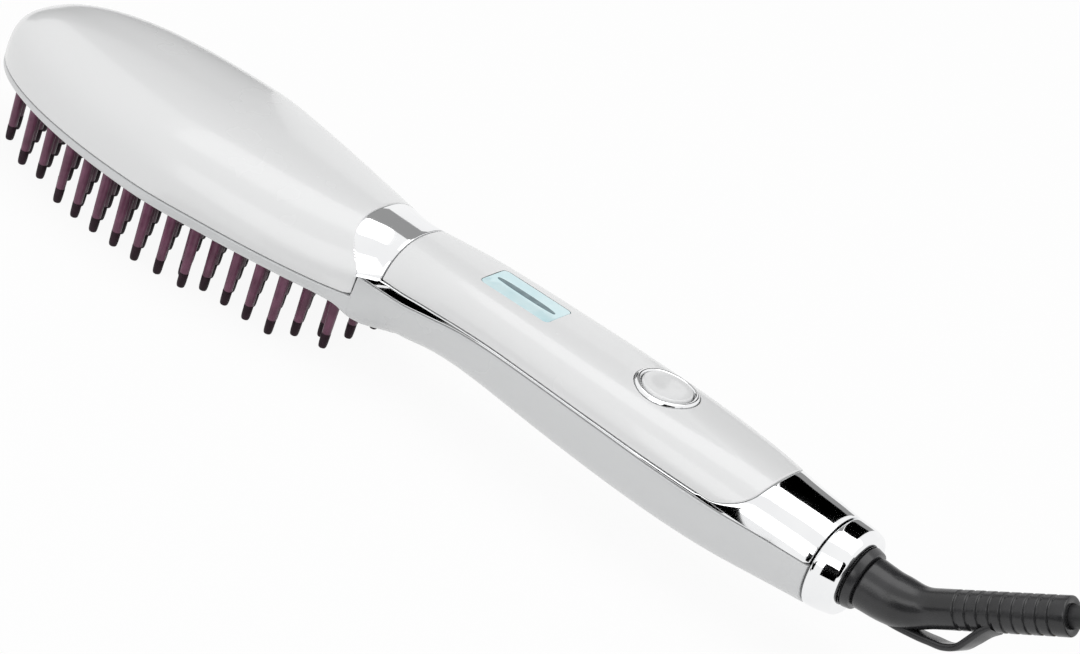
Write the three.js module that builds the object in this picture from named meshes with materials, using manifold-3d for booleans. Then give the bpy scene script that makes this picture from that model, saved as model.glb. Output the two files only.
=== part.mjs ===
// Hair straightening brush: a heated paddle head on a slim handle, with a swivelling mains cord.
// Millimetres, +Z up. The brush lies on the tips of its pins, with its back up.
// Everything is laid out along x from the head to the handle's tail, with the pin tips at z = 0. The whole
// group is then moved so that its origin is under the middle of brush and strain relief.
import * as THREE from 'three';
import { mergeVertices } from 'three/addons/utils/BufferGeometryUtils.js';
import Module from 'manifold-3d';

const wasm = await Module();
wasm.setup();

// Fits
const SEAT_GAP = 0.3;
const SEAM_GAP = 0.3;

// Head, seen from above and from the side
const HEAD_WIDTH = 64.6;
const HEAD_WIDEST_X = 68;
const HEAD_REACH = 73;
const HEAD_PLAN_POWER = 2.2;
const CROWN_HEIGHT = 21;
const CROWN_REAR_HEIGHT = 20;
const CROWN_POWER = 3;
const RIM_HEIGHT = 3;
const RIM_DEEP_HEIGHT = 4.2;
const SHELL_WALL = 2;
const RIM_WALL = 1.6;
const RIM_RISE_LENGTH = 48;
const FLANGE_DEPTH = 4.6;
const FLANGE_THICK = 1.05;

// Neck and handle sections
const NECK_X = 146;
const NECK_WIDTH = 29.4;
const NECK_HEIGHT = 26.4;
const NECK_RISE = 6.2;
const BELLY_X = 226;
const BELLY_WIDTH = 33;
const BELLY_HEIGHT = 29.2;
const BELLY_RISE = 5;
const SHOULDER_LENGTH = 36;
const TAIL_X = 283;
const TAIL_WIDTH = 24.8;
const TAIL_HEIGHT = 21;
const TAIL_RISE = 3.9;

// Pins
// They stand in lines along the head, and each line is set half a pitch on from its neighbours
const PIN_PITCH = 7.95;
const PIN_FIRST_X = 9.5;
const PIN_LINE_PITCH = 7.15;
const PIN_LINES_EACH_SIDE = 4;
const PIN_MOST_SHIFT = 3.2;
const PIN_FIELD_HALF = 29;
const PIN_FIELD_REACH = 66.5;
const PIN_EDGE_MARGIN = 0.2;
const PIN_FIELD_REAR_X = 132;
const PIN_ROOT_RADIUS = 1.5;
const PIN_END_RADIUS = 1.25;
const PIN_STAND = 19.5;
const TIP_ROUNDING = 1;
const TIP_END_RADIUS = 0.8;
const PIN_SIDES = 6;

// Bed, heating plate and heater
const BED_THICK = 1.4;
const BED_REAR_X = 136;
const BED_ROUND_X = 106;
const PLATE_THICK = 2;
const PLATE_EDGE_GAP = 0.9;
const ELEMENT_LENGTH = 60;
const ELEMENT_WIDTH = 9;
const ELEMENT_THICK = 2.5;
const ELEMENT_MID_X = 68;
const ELEMENT_Y = 9;
const SHEET_THICK = 0.6;
const SHEET_MARGIN = 4;
const SHEET_WIDTH = 36;
const CLAMP_WIDTH = 12;
const CLAMP_METAL = 1;
const CLAMP_FOOT = 9;
const CUTOUT_SIZE = [11, 7, 4];
const CUTOUT_X = 125;
const CUTOUT_Y = 5;
const SENSOR_RADIUS = 1.6;
const SENSOR_LENGTH = 6;
const SENSOR_Y = -6;

// Wires: how far one runs straight before it turns, and its distance from the middle on its way
const WIRE_RADIUS = 0.8;
const WIRE_LEAVES = 2.8;
const WIRE_CRADLE_Y = 4;
const WIRE_NECK_Y = 2.2;
const WIRE_PAD_Y = 6;

// Trim lines along the handle: x, and height above the head's parting plane
const COVER_REAR_TOP_X = 127;
const COVER_REAR_SIDE_X = 136;
const COVER_REAR_EDGE = [[6, COVER_REAR_SIDE_X], [10, 134], [14.5, 129.5], [19, COVER_REAR_TOP_X]];
const COLLAR_REAR_X = 142.4;
const PANEL_REAR_X = 264;
const PANEL_CORNER_LENGTH = 11;
// The panel's rear corner rises by these heights at these shares of its length
const PANEL_CORNER_RISE = [[0.5, 2.2], [0.85, 5.5], [1, 9.5]];
const TRIM_LINE = [[COVER_REAR_SIDE_X, 6], [143, 4.9], [150, 4.8], [158, 6.4], [170, 8.4], [184, 9.2],
  [216, 9.1], [236, 8.2], [250, 7.3], [262, 6.9], [TAIL_X, 6.4]];
const TRIM_FRONT_WIDTH = 2.6;
const TRIM_SIDE_WIDTH = 1.5;
const TRIM_FRONT_LENGTH = 10;
const TRIM_NARROWING = 20;

// Display
const WINDOW_X = 176.5;
const WINDOW_LENGTH = 23;
const WINDOW_WIDTH = 12;
const WINDOW_CORNER = 1.5;
const WINDOW_THICK = 1.6;
const LCD_LENGTH = 27;
const LCD_WIDTH = 12.8;
const LCD_THICK = 1.8;
const BACKLIGHT_THICK = 2;
const LCD_FRAME_WALL = 1;

// Power button
const BUTTON_X = 224;
const BUTTON_RADIUS = 7;
const BUTTON_RING_WIDTH = 1.6;
const BUTTON_GAP = 0.3;
const BUTTON_PROUD = 0.9;
const BUTTON_SKIN = 2.2;
const BUTTON_TRAVEL = 0.8;
const RING_PROUD = 0.5;
const RING_DEPTH = 2.2;
const STEM_RADIUS = 2.5;
const PLUNGER_RADIUS = 1.5;
const SWITCH_SIZE = [6, 6, 3.5];

// Circuit board
const BOARD_FRONT_X = 152;
const BOARD_REAR_X = 246;
const BOARD_WIDTH = 17;
const BOARD_THICK = 1.6;
const BOARD_RISE = 9.4;
const BOARD_POST_XS = [157, 204, 241];
const POST_RADIUS = 2.8;
const FILTER_SIZE = [17, 8, 11];
const FILTER_X = 222.5;
const TRIAC_SIZE = [11, 10, 4.5];
const TRIAC_X = 171.5;
const CHIP_SIZE = [7, 7, 1.6];
const CHIP_X = 212.5;
const CANISTER_RADIUS = 4;
const CANISTER_LENGTH = 14;
const CANISTER_X = 190;
const BUZZER_RADIUS = 4.4;
const BUZZER_HEIGHT = 4;
const BUZZER_X = 197;

// Screws
const SCREW_RADIUS = 1.1;
const SCREW_HEAD_RADIUS = 2.2;
const SCREW_HEAD_HEIGHT = 1.3;
const SCREW_SIDES = 8;
const BOSS_RADIUS = 3;
const BOSS_HOLE_DEPTH = 9;
// The head screws stand among the pins, this many pitches behind the first one
const HEAD_SCREW_PITCHES = [2.5, 12.5];
const HEAD_SCREW_Y = 11.8;
const HEAD_SCREW_LENGTH = 12;
const HANDLE_SCREW_X = 147.8;
const HANDLE_SCREW_Y = 6;

// Swivel
const END_RING_LENGTH = 8.2;
const END_RING_BORE_RADIUS = 8.3;
const BEARING_FRONT_X = 266;
const BEARING_RADIUS = 8;
const BARREL_RADIUS = 6;
const BARREL_BORE_RADIUS = 1.6;
const BARREL_STOP_RADIUS = 7.4;
const BARREL_STOP_LENGTH = 2.2;
const BARREL_FLANGE_RADIUS = 8.6;
const BARREL_FLANGE_LENGTH = 2.4;
const STUB_RADIUS = 3.5;
const STUB_FRONT_X = 251;
const SLIP_RING_THICK = 0.7;
const SLIP_RING_LENGTH = 2.5;
const SLIP_RING_XS = [254.8, 259.4];
const CARRIER_SIDE = 14;
const CARRIER_BORE_CLEARANCE = 0.5;
const BRUSH_RADIUS = 0.9;

// Strain relief
const RELIEF_BASE_RADIUS = 8.1;
const RELIEF_STRAIGHT = 4.3;
const RELIEF_BEND_RADIUS = 26;
const RELIEF_BEND_DEG = 31;
const RELIEF_END_RADIUS = 5.1;
const RELIEF_TAPER_END = 26;
const RELIEF_TAPER_LENGTH = 9;
const RELIEF_RIB_COUNT = 9;
const RELIEF_RIB_PITCH = 3.2;
const RELIEF_RIB_LENGTH = 1.9;
const RELIEF_GROOVE_DEPTH = 0.8;
const RELIEF_END_LENGTH = 1.7;
const RELIEF_SIDES = 12;
const LOOP_THICK = 2.2;
const LOOP_WIDTH = 7;
// The loop's middle line, as distance along the relief and distance below its axis
const LOOP_LINE = [[8, 6.2], [14, 7.6], [20, 11.2],
  [26.5, 12.8], [32.5, 11.8], [37, 8], [39.5, 4.4], [41, 1.5]];

// Cord, coil and plug
const CORD_DIAMETER = 6;
const CORD_SIDES = 8;
const LEAD_EXIT_PULL = 50;
const LEAD_MEET_PULL = 36;
const LEAD_STEPS = 10;
const TURN_PITCH = 6.6;
const COIL_LAYERS = 4;
const COIL_TURNS = 7.5;
const COIL_MID_RADIUS = 33;
const COIL_CENTRE_X = 440;
const COIL_CENTRE_Y = 4;
const COIL_START_DEG = 270;
const COIL_STEPS_PER_TURN = 24;
const COIL_SIDES = 6;
const TIE_THICK = 0.8;
const TIE_WIDTH = 9;
const TIE_GAP = 0.5;
const PLUG_LENGTH = 30;
const PLUG_WIDTH = 22;
const PLUG_HEIGHT = 14;
// The plug's neck: distance from the cord entry, half width and half height
const PLUG_NECK = [[0, 4.2, 4.2], [6, 4.6, 4.4], [12, 7, 5.8]];
const PLUG_GRIP_X = 18;
const PLUG_EDGE = 1;
const PLUG_POWER = 3.4;
const BLADE_LENGTH = 17;
const BLADE_WIDTH = 6.3;
const BLADE_THICK = 1.5;
const BLADE_SPACING = 12.7;
const CORD_END_LENGTH = 20;

// Heights and places that follow from the sizes above
const PARTING_Z = PIN_STAND + RIM_HEIGHT;
const HEAD_HALF = HEAD_WIDTH / 2;
const PIN_EDGE_INSET = RIM_WALL + SEAT_GAP + PIN_ROOT_RADIUS + PIN_EDGE_MARGIN;
const NECK_HALF = NECK_WIDTH / 2;
const AXIS_Z = PARTING_Z + TAIL_RISE;
const BED_BOTTOM_Z = PARTING_Z - SEAM_GAP / 2 - FLANGE_THICK - SEAT_GAP - BED_THICK;
const PLATE_Z = PARTING_Z + SEAM_GAP / 2;
const PLATE_TOP_Z = PLATE_Z + PLATE_THICK;
const BOARD_Z = PARTING_Z + BOARD_RISE;
const BOARD_TOP_Z = BOARD_Z + BOARD_THICK;
const RING_FRONT_X = TAIL_X + SEAM_GAP;
const RING_REAR_X = RING_FRONT_X + END_RING_LENGTH;
const FLANGE_X = RING_REAR_X + SEAM_GAP;
const RELIEF_X = FLANGE_X + BARREL_FLANGE_LENGTH + SEAT_GAP;
// A height over the parting plane that the body stays well below
const BODY_CLEAR_HEIGHT = 40;
const BODY_TOP_Z = PARTING_Z + BODY_CLEAR_HEIGHT;
const PROFILE_FRONT_X = HEAD_WIDEST_X - HEAD_REACH - 5;
const HALF_TURN = Math.PI;

const FINISH = {
  white: { color: 0xf0f1f2, roughness: 0.28, metalness: 0 },
  pale: { color: 0xd9dbdc, roughness: 0.32, metalness: 0 },
  chrome: { color: 0xd7d9dc, roughness: 0.08, metalness: 1 },
  plum: { color: 0x6a3350, roughness: 0.5, metalness: 0 },
  black: { color: 0x17161a, roughness: 0.45, metalness: 0 },
  rubber: { color: 0x26262a, roughness: 0.55, metalness: 0 },
  lens: { color: 0xc4eef6, roughness: 0.1, metalness: 0 },
  screen: { color: 0x9fdbe8, roughness: 0.3, metalness: 0 },
  aluminium: { color: 0xb9bcc0, roughness: 0.4, metalness: 1 },
  steel: { color: 0x8f9296, roughness: 0.35, metalness: 1 },
  brass: { color: 0xc9a227, roughness: 0.3, metalness: 1 },
  board: { color: 0x1f6b45, roughness: 0.5, metalness: 0 },
  ceramic: { color: 0xe9e4da, roughness: 0.6, metalness: 0 },
  wire: { color: 0xb83a32, roughness: 0.5, metalness: 0 },
};

const brush = new THREE.Group();

function addPart(name, solid, finish) {
  const mesh = new THREE.Mesh(solid, new THREE.MeshStandardMaterial(FINISH[finish]));
  mesh.name = name;
  brush.add(mesh);
  return mesh;
}

// Like pieces, each its own solid, are numbered
function addEach(name, solids, finish) {
  return solids.map((solid, i) => addPart(`${name}_${i + 1}`, solid, finish));
}

// Solids

function toSolid(geometry) {
  const bare = geometry.index ? geometry.toNonIndexed() : geometry.clone();
  bare.deleteAttribute('normal');
  bare.deleteAttribute('uv');
  const merged = mergeVertices(bare, 1e-4);
  const vertProperties = new Float32Array(merged.attributes.position.array);
  const triVerts = new Uint32Array(merged.index.array);
  return new wasm.Manifold(new wasm.Mesh({ numProp: 3, vertProperties, triVerts }));
}

function toGeometry(solid) {
  const mesh = solid.getMesh();
  const geometry = new THREE.BufferGeometry();
  const positions = new Float32Array(mesh.numVert * 3);
  for (let i = 0; i < mesh.numVert; i += 1) {
    for (let k = 0; k < 3; k += 1) {
      positions[i * 3 + k] = mesh.vertProperties[i * mesh.numProp + k];
    }
  }
  geometry.setAttribute('position', new THREE.BufferAttribute(positions, 3));
  geometry.setIndex(Array.from(mesh.triVerts));
  return geometry;
}

function bareGeometry(geometry) {
  const bare = geometry.index ? geometry.toNonIndexed() : geometry.clone();
  bare.deleteAttribute('normal');
  bare.deleteAttribute('uv');
  return mergeVertices(bare, 1e-4);
}

function box(x0, x1, y0, y1, z0, z1) {
  const geometry = new THREE.BoxGeometry(x1 - x0, y1 - y0, z1 - z0);
  return geometry.translate((x0 + x1) / 2, (y0 + y1) / 2, (z0 + z1) / 2);
}

function post(x, y, z0, z1, radius, sides = 12, endRadius = radius) {
  const geometry = new THREE.CylinderGeometry(endRadius, radius, z1 - z0, sides);
  return geometry.rotateX(HALF_TURN / 2).translate(x, y, (z0 + z1) / 2);
}

// An outline in the XY plane, raised from z0 to z1
function plate(shape, z0, z1) {
  const settings = { depth: z1 - z0, bevelEnabled: false, curveSegments: 6 };
  const geometry = new THREE.ExtrudeGeometry(shape, settings);
  return geometry.translate(0, 0, z0);
}

// A side view in x and z, run across the whole width
function sideProfile(points, halfWidth) {
  const shape = new THREE.Shape(points.map(([x, z]) => new THREE.Vector2(x, z)));
  const geometry = new THREE.ExtrudeGeometry(shape, { depth: 2 * halfWidth, bevelEnabled: false });
  return geometry.rotateX(HALF_TURN / 2).translate(0, halfWidth, 0);
}

// A turned piece on the swivel axis, from a closed profile of [x, radius]
function turned(profile, segments = 20) {
  const points = profile.map(([x, r]) => new THREE.Vector2(r, x));
  points.push(points[0].clone());
  const geometry = new THREE.LatheGeometry(points, segments);
  geometry.rotateZ(-HALF_TURN / 2);
  return geometry.translate(0, 0, AXIS_Z);
}

// A closed skin through rings of equal point count, with an apex point at each end
function loft(rings, firstApex, lastApex) {
  const count = rings[0].length;
  const positions = [];
  rings.forEach((ring) => ring.forEach((p) => positions.push(p.x, p.y, p.z)));
  const first = rings.length * count;
  positions.push(firstApex.x, firstApex.y, firstApex.z);
  positions.push(lastApex.x, lastApex.y, lastApex.z);
  const index = [];
  for (let r = 0; r < rings.length - 1; r += 1) {
    for (let i = 0; i < count; i += 1) {
      const a = r * count + i;
      const b = r * count + ((i + 1) % count);
      index.push(a, b, b + count, a, b + count, a + count);
    }
  }
  for (let i = 0; i < count; i += 1) {
    const j = (i + 1) % count;
    const last = (rings.length - 1) * count;
    index.push(first, j, i);
    index.push(first + 1, last + i, last + j);
  }
  const geometry = new THREE.BufferGeometry();
  geometry.setAttribute('position', new THREE.BufferAttribute(new Float32Array(positions), 3));
  geometry.setIndex(index);
  return geometry;
}

function centreOf(ring) {
  const sum = ring.reduce((total, p) => total.add(p), new THREE.Vector3());
  return sum.divideScalar(ring.length);
}

// A tube along a curve, with flat ends square to it
function tube(curve, radius, sides, steps) {
  const circle = new THREE.Shape();
  for (let i = 0; i < sides; i += 1) {
    const angle = (2 * HALF_TURN * i) / sides;
    const x = radius * Math.cos(angle);
    const y = radius * Math.sin(angle);
    if (i === 0) circle.moveTo(x, y);
    else circle.lineTo(x, y);
  }
  circle.closePath();
  return new THREE.ExtrudeGeometry(circle, { steps, bevelEnabled: false, extrudePath: curve });
}

// The smooth value at x of a curve through [x, value] points
function through(points, x) {
  if (x <= points[0][0]) return points[0][1];
  for (let i = 0; i < points.length - 1; i += 1) {
    const [x1, y1] = points[i];
    const [x2, y2] = points[i + 1];
    if (x <= x2) {
      const slopeAt = (k) => {
        const before = points[Math.max(k - 1, 0)];
        const after = points[Math.min(k + 1, points.length - 1)];
        return (after[1] - before[1]) / (after[0] - before[0]);
      };
      const t = (x - x1) / (x2 - x1);
      const h = x2 - x1;
      return (2 * t ** 3 - 3 * t ** 2 + 1) * y1 + (t ** 3 - 2 * t ** 2 + t) * h * slopeAt(i)
        + (3 * t ** 2 - 2 * t ** 3) * y2 + (t ** 3 - t ** 2) * h * slopeAt(i + 1);
    }
  }
  return points[points.length - 1][1];
}

// Outer form of head, neck and handle

// The head narrows to the neck along these shares of the way and of the width that is left.
// The first one lies ahead of the widest place, so that the line is level there.
const HEAD_TAPER = [[-0.31, 0.835], [0, 1], [0.31, 0.835], [0.56, 0.62], [0.76, 0.37], [0.9, 0.11], [1, 0]];
const neckSpan = NECK_X - HEAD_WIDEST_X;
const WIDTH_LINE = HEAD_TAPER
  .map(([along, across]) => [HEAD_WIDEST_X + along * neckSpan, NECK_HALF + across * (HEAD_HALF - NECK_HALF)])
  .concat([[NECK_X + 14, NECK_HALF], [BELLY_X, BELLY_WIDTH / 2], [TAIL_X - 29, BELLY_WIDTH / 2 - 1.2],
    [TAIL_X - 13, TAIL_WIDTH / 2 + 1.1], [TAIL_X, TAIL_WIDTH / 2],
    [TAIL_X + END_RING_LENGTH, TAIL_WIDTH / 2 - 0.4]]);
const NECK_FRONT_X = NECK_X - 12;
const NECK_DIP = 2;
const SEAT_LINE = [[NECK_FRONT_X, 0], [NECK_X - 5, 2.6],
  [NECK_X + 2, NECK_RISE - 0.8], [NECK_X + 14, NECK_RISE + 0.7],
  [BELLY_X - SHOULDER_LENGTH, BELLY_RISE + 1.5], [BELLY_X, BELLY_RISE],
  [TAIL_X - 29, TAIL_RISE + 0.4], [TAIL_X, TAIL_RISE]];
const TOP_LINE = [[HEAD_WIDEST_X - 20, CROWN_REAR_HEIGHT + 0.3], [HEAD_WIDEST_X, CROWN_HEIGHT],
  [HEAD_WIDEST_X + 20, CROWN_REAR_HEIGHT + 0.3],
  [NECK_X - 30, CROWN_REAR_HEIGHT - NECK_DIP], [NECK_FRONT_X, CROWN_REAR_HEIGHT - NECK_DIP - 0.4],
  [NECK_X - 4, NECK_RISE + NECK_HEIGHT / 2 - 0.9], [NECK_X + 14, NECK_RISE + NECK_HEIGHT / 2 + 0.8],
  [BELLY_X - SHOULDER_LENGTH, BELLY_RISE + BELLY_HEIGHT / 2 + 0.4], [BELLY_X, BELLY_RISE + BELLY_HEIGHT / 2],
  [TAIL_X - 31, TAIL_RISE + TAIL_HEIGHT / 2 + 3.9], [TAIL_X - 15, TAIL_RISE + TAIL_HEIGHT / 2 + 1.4],
  [TAIL_X, TAIL_RISE + TAIL_HEIGHT / 2], [TAIL_X + END_RING_LENGTH, TAIL_RISE + TAIL_HEIGHT / 2 - 0.4]];
const BOTTOM_LINE = [[HEAD_WIDEST_X - RIM_RISE_LENGTH, -RIM_HEIGHT], [HEAD_WIDEST_X, -RIM_DEEP_HEIGHT],
  [NECK_X - 28, -RIM_DEEP_HEIGHT], [NECK_FRONT_X, -RIM_DEEP_HEIGHT - 0.4],
  [NECK_X - 6, NECK_RISE - NECK_HEIGHT / 2 + 0.8],
  [NECK_X, NECK_RISE - NECK_HEIGHT / 2], [NECK_X + 14, NECK_RISE - NECK_HEIGHT / 2 + 0.8],
  [NECK_X + 26, NECK_RISE - NECK_HEIGHT / 2 + 0.9],
  [BELLY_X - 26, BELLY_RISE - BELLY_HEIGHT / 2 + 1.4], [BELLY_X, BELLY_RISE - BELLY_HEIGHT / 2],
  [TAIL_X - 31, TAIL_RISE - TAIL_HEIGHT / 2 - 2.9], [TAIL_X, TAIL_RISE - TAIL_HEIGHT / 2],
  [TAIL_X + END_RING_LENGTH, TAIL_RISE - TAIL_HEIGHT / 2 + 0.4]];
const TOP_POWER_LINE = [[HEAD_WIDEST_X, 2.8], [NECK_FRONT_X, 2.15], [TAIL_X, 2.1]];
const BOTTOM_POWER_LINE = [[NECK_FRONT_X, 7], [NECK_X - 4, 2.6], [NECK_X + 6, 2.15], [TAIL_X, 2.1]];

// The head's half width at x, drawn in by inset all round
function headHalf(x, inset = 0) {
  if (x < HEAD_WIDEST_X) {
    const share = (HEAD_WIDEST_X - x) / (HEAD_REACH - inset);
    return (HEAD_HALF - inset) * Math.max(1 - share ** HEAD_PLAN_POWER, 0) ** (1 / HEAD_PLAN_POWER);
  }
  return through(WIDTH_LINE, x) - inset;
}

function topAt(x, inset) {
  if (x < HEAD_WIDEST_X) {
    const share = (HEAD_WIDEST_X - x) / (HEAD_REACH - inset);
    return (CROWN_HEIGHT - inset) * Math.max(1 - share ** CROWN_POWER, 0) ** (1 / CROWN_POWER);
  }
  return through(TOP_LINE, x) - inset;
}

function sectionAt(x, inset = 0) {
  const seat = through(SEAT_LINE, x);
  return {
    x,
    half: headHalf(x, inset),
    seat: PARTING_Z + seat,
    top: topAt(x, inset) - seat,
    bottom: seat - (through(BOTTOM_LINE, x) + inset),
    topPower: through(TOP_POWER_LINE, x),
    bottomPower: through(BOTTOM_POWER_LINE, x),
  };
}

function sectionRing(section, count) {
  const ring = [];
  for (let i = 0; i < count; i += 1) {
    const angle = (2 * HALF_TURN * i) / count;
    const c = Math.cos(angle);
    const s = Math.sin(angle);
    const power = s >= 0 ? section.topPower : section.bottomPower;
    const height = s >= 0 ? section.top : section.bottom;
    const y = section.half * Math.sign(c) * Math.abs(c) ** (2 / power);
    const z = section.seat + Math.sign(s) * height * Math.abs(s) ** (2 / power);
    ring.push(new THREE.Vector3(section.x, y, z));
  }
  return ring;
}

// Height of the outer form's back over the point x, y, less inset
function roofZ(x, y, inset = 0) {
  const section = sectionAt(x, inset);
  const share = Math.min(Math.abs(y) / section.half, 1);
  return section.seat + section.top * (1 - share ** section.topPower) ** (1 / section.topPower);
}

// Height of the outer form's underside at the point x, y, plus inset
function floorZ(x, y, inset = 0) {
  const section = sectionAt(x, inset);
  const share = Math.min(Math.abs(y) / section.half, 1);
  return section.seat - section.bottom * (1 - share ** section.bottomPower) ** (1 / section.bottomPower);
}

const TIP_STATIONS = [0.006, 0.035, 0.09, 0.17, 0.28, 0.43, 0.62, 0.82];

function bodyStations(frontX, rearX) {
  const stations = TIP_STATIONS.map((share) => frontX + share * (HEAD_WIDEST_X - frontX));
  const steps = 22;
  for (let i = 0; i <= steps; i += 1) {
    const x = HEAD_WIDEST_X + (i / steps) * (rearX - HEAD_WIDEST_X);
    stations.push(x);
  }
  return stations;
}

function bodyForm(inset, rearX, count) {
  const frontX = HEAD_WIDEST_X - HEAD_REACH + inset;
  const rings = bodyStations(frontX, rearX).map((x) => sectionRing(sectionAt(x, inset), count));
  const nose = centreOf(rings[0]);
  nose.x = frontX;
  return toSolid(loft(rings, nose, centreOf(rings[rings.length - 1])));
}

const FORM_POINTS = 24;
const INNER_POINTS = 16;
const outerForm = bodyForm(0, TAIL_X, FORM_POINTS);
const innerForm = bodyForm(SHELL_WALL, TAIL_X + 1, INNER_POINTS);
const shell = outerForm.subtract(innerForm);
const ACROSS = HEAD_HALF + 5;

// Side view of what lies above the trim line, from x0 on, raised by lift
function trimLine(lift, x0, x1) {
  const line = TRIM_LINE.map(([x, z]) => [x, PARTING_Z + z + lift]);
  const inside = line.filter(([x]) => x > x0 && x < x1);
  return [[x0, through(line, x0)], ...inside, [x1, through(line, x1)]];
}

// Side view of the head's back cover; grow widens it on the sides that meet the trim
function coverProfile(grow) {
  const bottom = PARTING_Z + SEAM_GAP / 2;
  const edge = COVER_REAR_EDGE.map(([height, x]) => [x + grow, PARTING_Z + height]);
  return [[PROFILE_FRONT_X, bottom], [COVER_REAR_SIDE_X + grow, bottom], ...edge,
    [COVER_REAR_TOP_X + grow, BODY_TOP_Z], [PROFILE_FRONT_X, BODY_TOP_Z]];
}

// Side view of the handle's top panel
function panelProfile(grow) {
  const front = COLLAR_REAR_X - grow;
  const rear = PANEL_REAR_X + grow;
  const corner = rear - PANEL_CORNER_LENGTH;
  const widening = [[front, TRIM_FRONT_WIDTH], [front + TRIM_FRONT_LENGTH, TRIM_FRONT_WIDTH],
    [front + TRIM_FRONT_LENGTH + TRIM_NARROWING, TRIM_SIDE_WIDTH],
    [corner, TRIM_SIDE_WIDTH]];
  const edge = trimLine(0, front, corner).map(([x, z]) => [x, z + through(widening, x) - grow]);
  const cornerZ = edge[edge.length - 1][1];
  const rise = PANEL_CORNER_RISE.map(
    ([share, height]) => [corner + share * PANEL_CORNER_LENGTH, cornerZ + height],
  );
  return [...edge, ...rise, [rear, BODY_TOP_Z], [front, BODY_TOP_Z]];
}

function panelPlate(halfLength, halfWidth, corner) {
  const shape = new THREE.Shape();
  shape.moveTo(-halfLength + corner, -halfWidth);
  shape.lineTo(halfLength - corner, -halfWidth);
  shape.quadraticCurveTo(halfLength, -halfWidth, halfLength, -halfWidth + corner);
  shape.lineTo(halfLength, halfWidth - corner);
  shape.quadraticCurveTo(halfLength, halfWidth, halfLength - corner, halfWidth);
  shape.lineTo(-halfLength + corner, halfWidth);
  shape.quadraticCurveTo(-halfLength, halfWidth, -halfLength, halfWidth - corner);
  shape.lineTo(-halfLength, -halfWidth + corner);
  shape.quadraticCurveTo(-halfLength, -halfWidth, -halfLength + corner, -halfWidth);
  return shape;
}

// The half width that rounds off the bed's rear end
function rearRound(x, rearX, inset) {
  if (x <= BED_ROUND_X) return Infinity;
  const beyond = (x - BED_ROUND_X) / (rearX - BED_ROUND_X);
  return headHalf(BED_ROUND_X, inset) * Math.sqrt(Math.max(1 - beyond ** 2, 0));
}

// The head's outline seen from above, drawn in by inset and rounded off at the rear
function headOutline(inset, rearX, steps = 18) {
  const front = HEAD_WIDEST_X - HEAD_REACH + inset;
  const side = [];
  for (let i = 1; i < steps; i += 1) {
    const x = front + ((rearX - front) * (1 - Math.cos((HALF_TURN * i) / steps))) / 2;
    side.push([x, Math.min(headHalf(x, inset), rearRound(x, rearX, inset))]);
  }
  const shape = new THREE.Shape();
  shape.moveTo(front, 0);
  side.forEach(([x, half]) => shape.lineTo(x, -half));
  shape.lineTo(rearX, 0);
  side.reverse().forEach(([x, half]) => shape.lineTo(x, half));
  shape.closePath();
  return shape;
}

// Screws and the holes for them

const HOLE_RADIUS = SCREW_RADIUS + SEAT_GAP;
const headScrewPlaces = HEAD_SCREW_PITCHES
  .map((pitches) => PIN_FIRST_X + pitches * PIN_PITCH)
  .flatMap((x) => [[x, -HEAD_SCREW_Y], [x, HEAD_SCREW_Y]]);
const handleScrewPlaces = [[HANDLE_SCREW_X, -HANDLE_SCREW_Y], [HANDLE_SCREW_X, HANDLE_SCREW_Y]];

// A pan-head screw along z, its head's outer face at z and its shank away from there
function screw(x, y, z, length, up) {
  const sign = up ? 1 : -1;
  const profile = [[0, 0], [SCREW_HEAD_RADIUS, 0], [SCREW_HEAD_RADIUS, SCREW_HEAD_HEIGHT],
    [SCREW_RADIUS, SCREW_HEAD_HEIGHT], [SCREW_RADIUS, length], [0, length]];
  const points = profile.map(([r, along]) => new THREE.Vector2(r, along));
  const geometry = new THREE.LatheGeometry(points, SCREW_SIDES);
  geometry.rotateX((sign * HALF_TURN) / 2);
  return geometry.translate(x, y, z);
}

// Shells

function makeBackCover() {
  let cover = shell.intersect(toSolid(sideProfile(coverProfile(0), ACROSS)));
  headScrewPlaces.forEach(([x, y]) => {
    const top = roofZ(x, Math.abs(y) + BOSS_RADIUS, SHELL_WALL) + SHELL_WALL / 2;
    cover = cover.add(toSolid(post(x, y, PLATE_TOP_Z + SEAT_GAP, top, BOSS_RADIUS)));
    const holeTop = PLATE_TOP_Z + HEAD_SCREW_LENGTH;
    cover = cover.subtract(toSolid(post(x, y, PLATE_TOP_Z, holeTop, HOLE_RADIUS, SCREW_SIDES)));
  });
  return cover;
}

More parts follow.
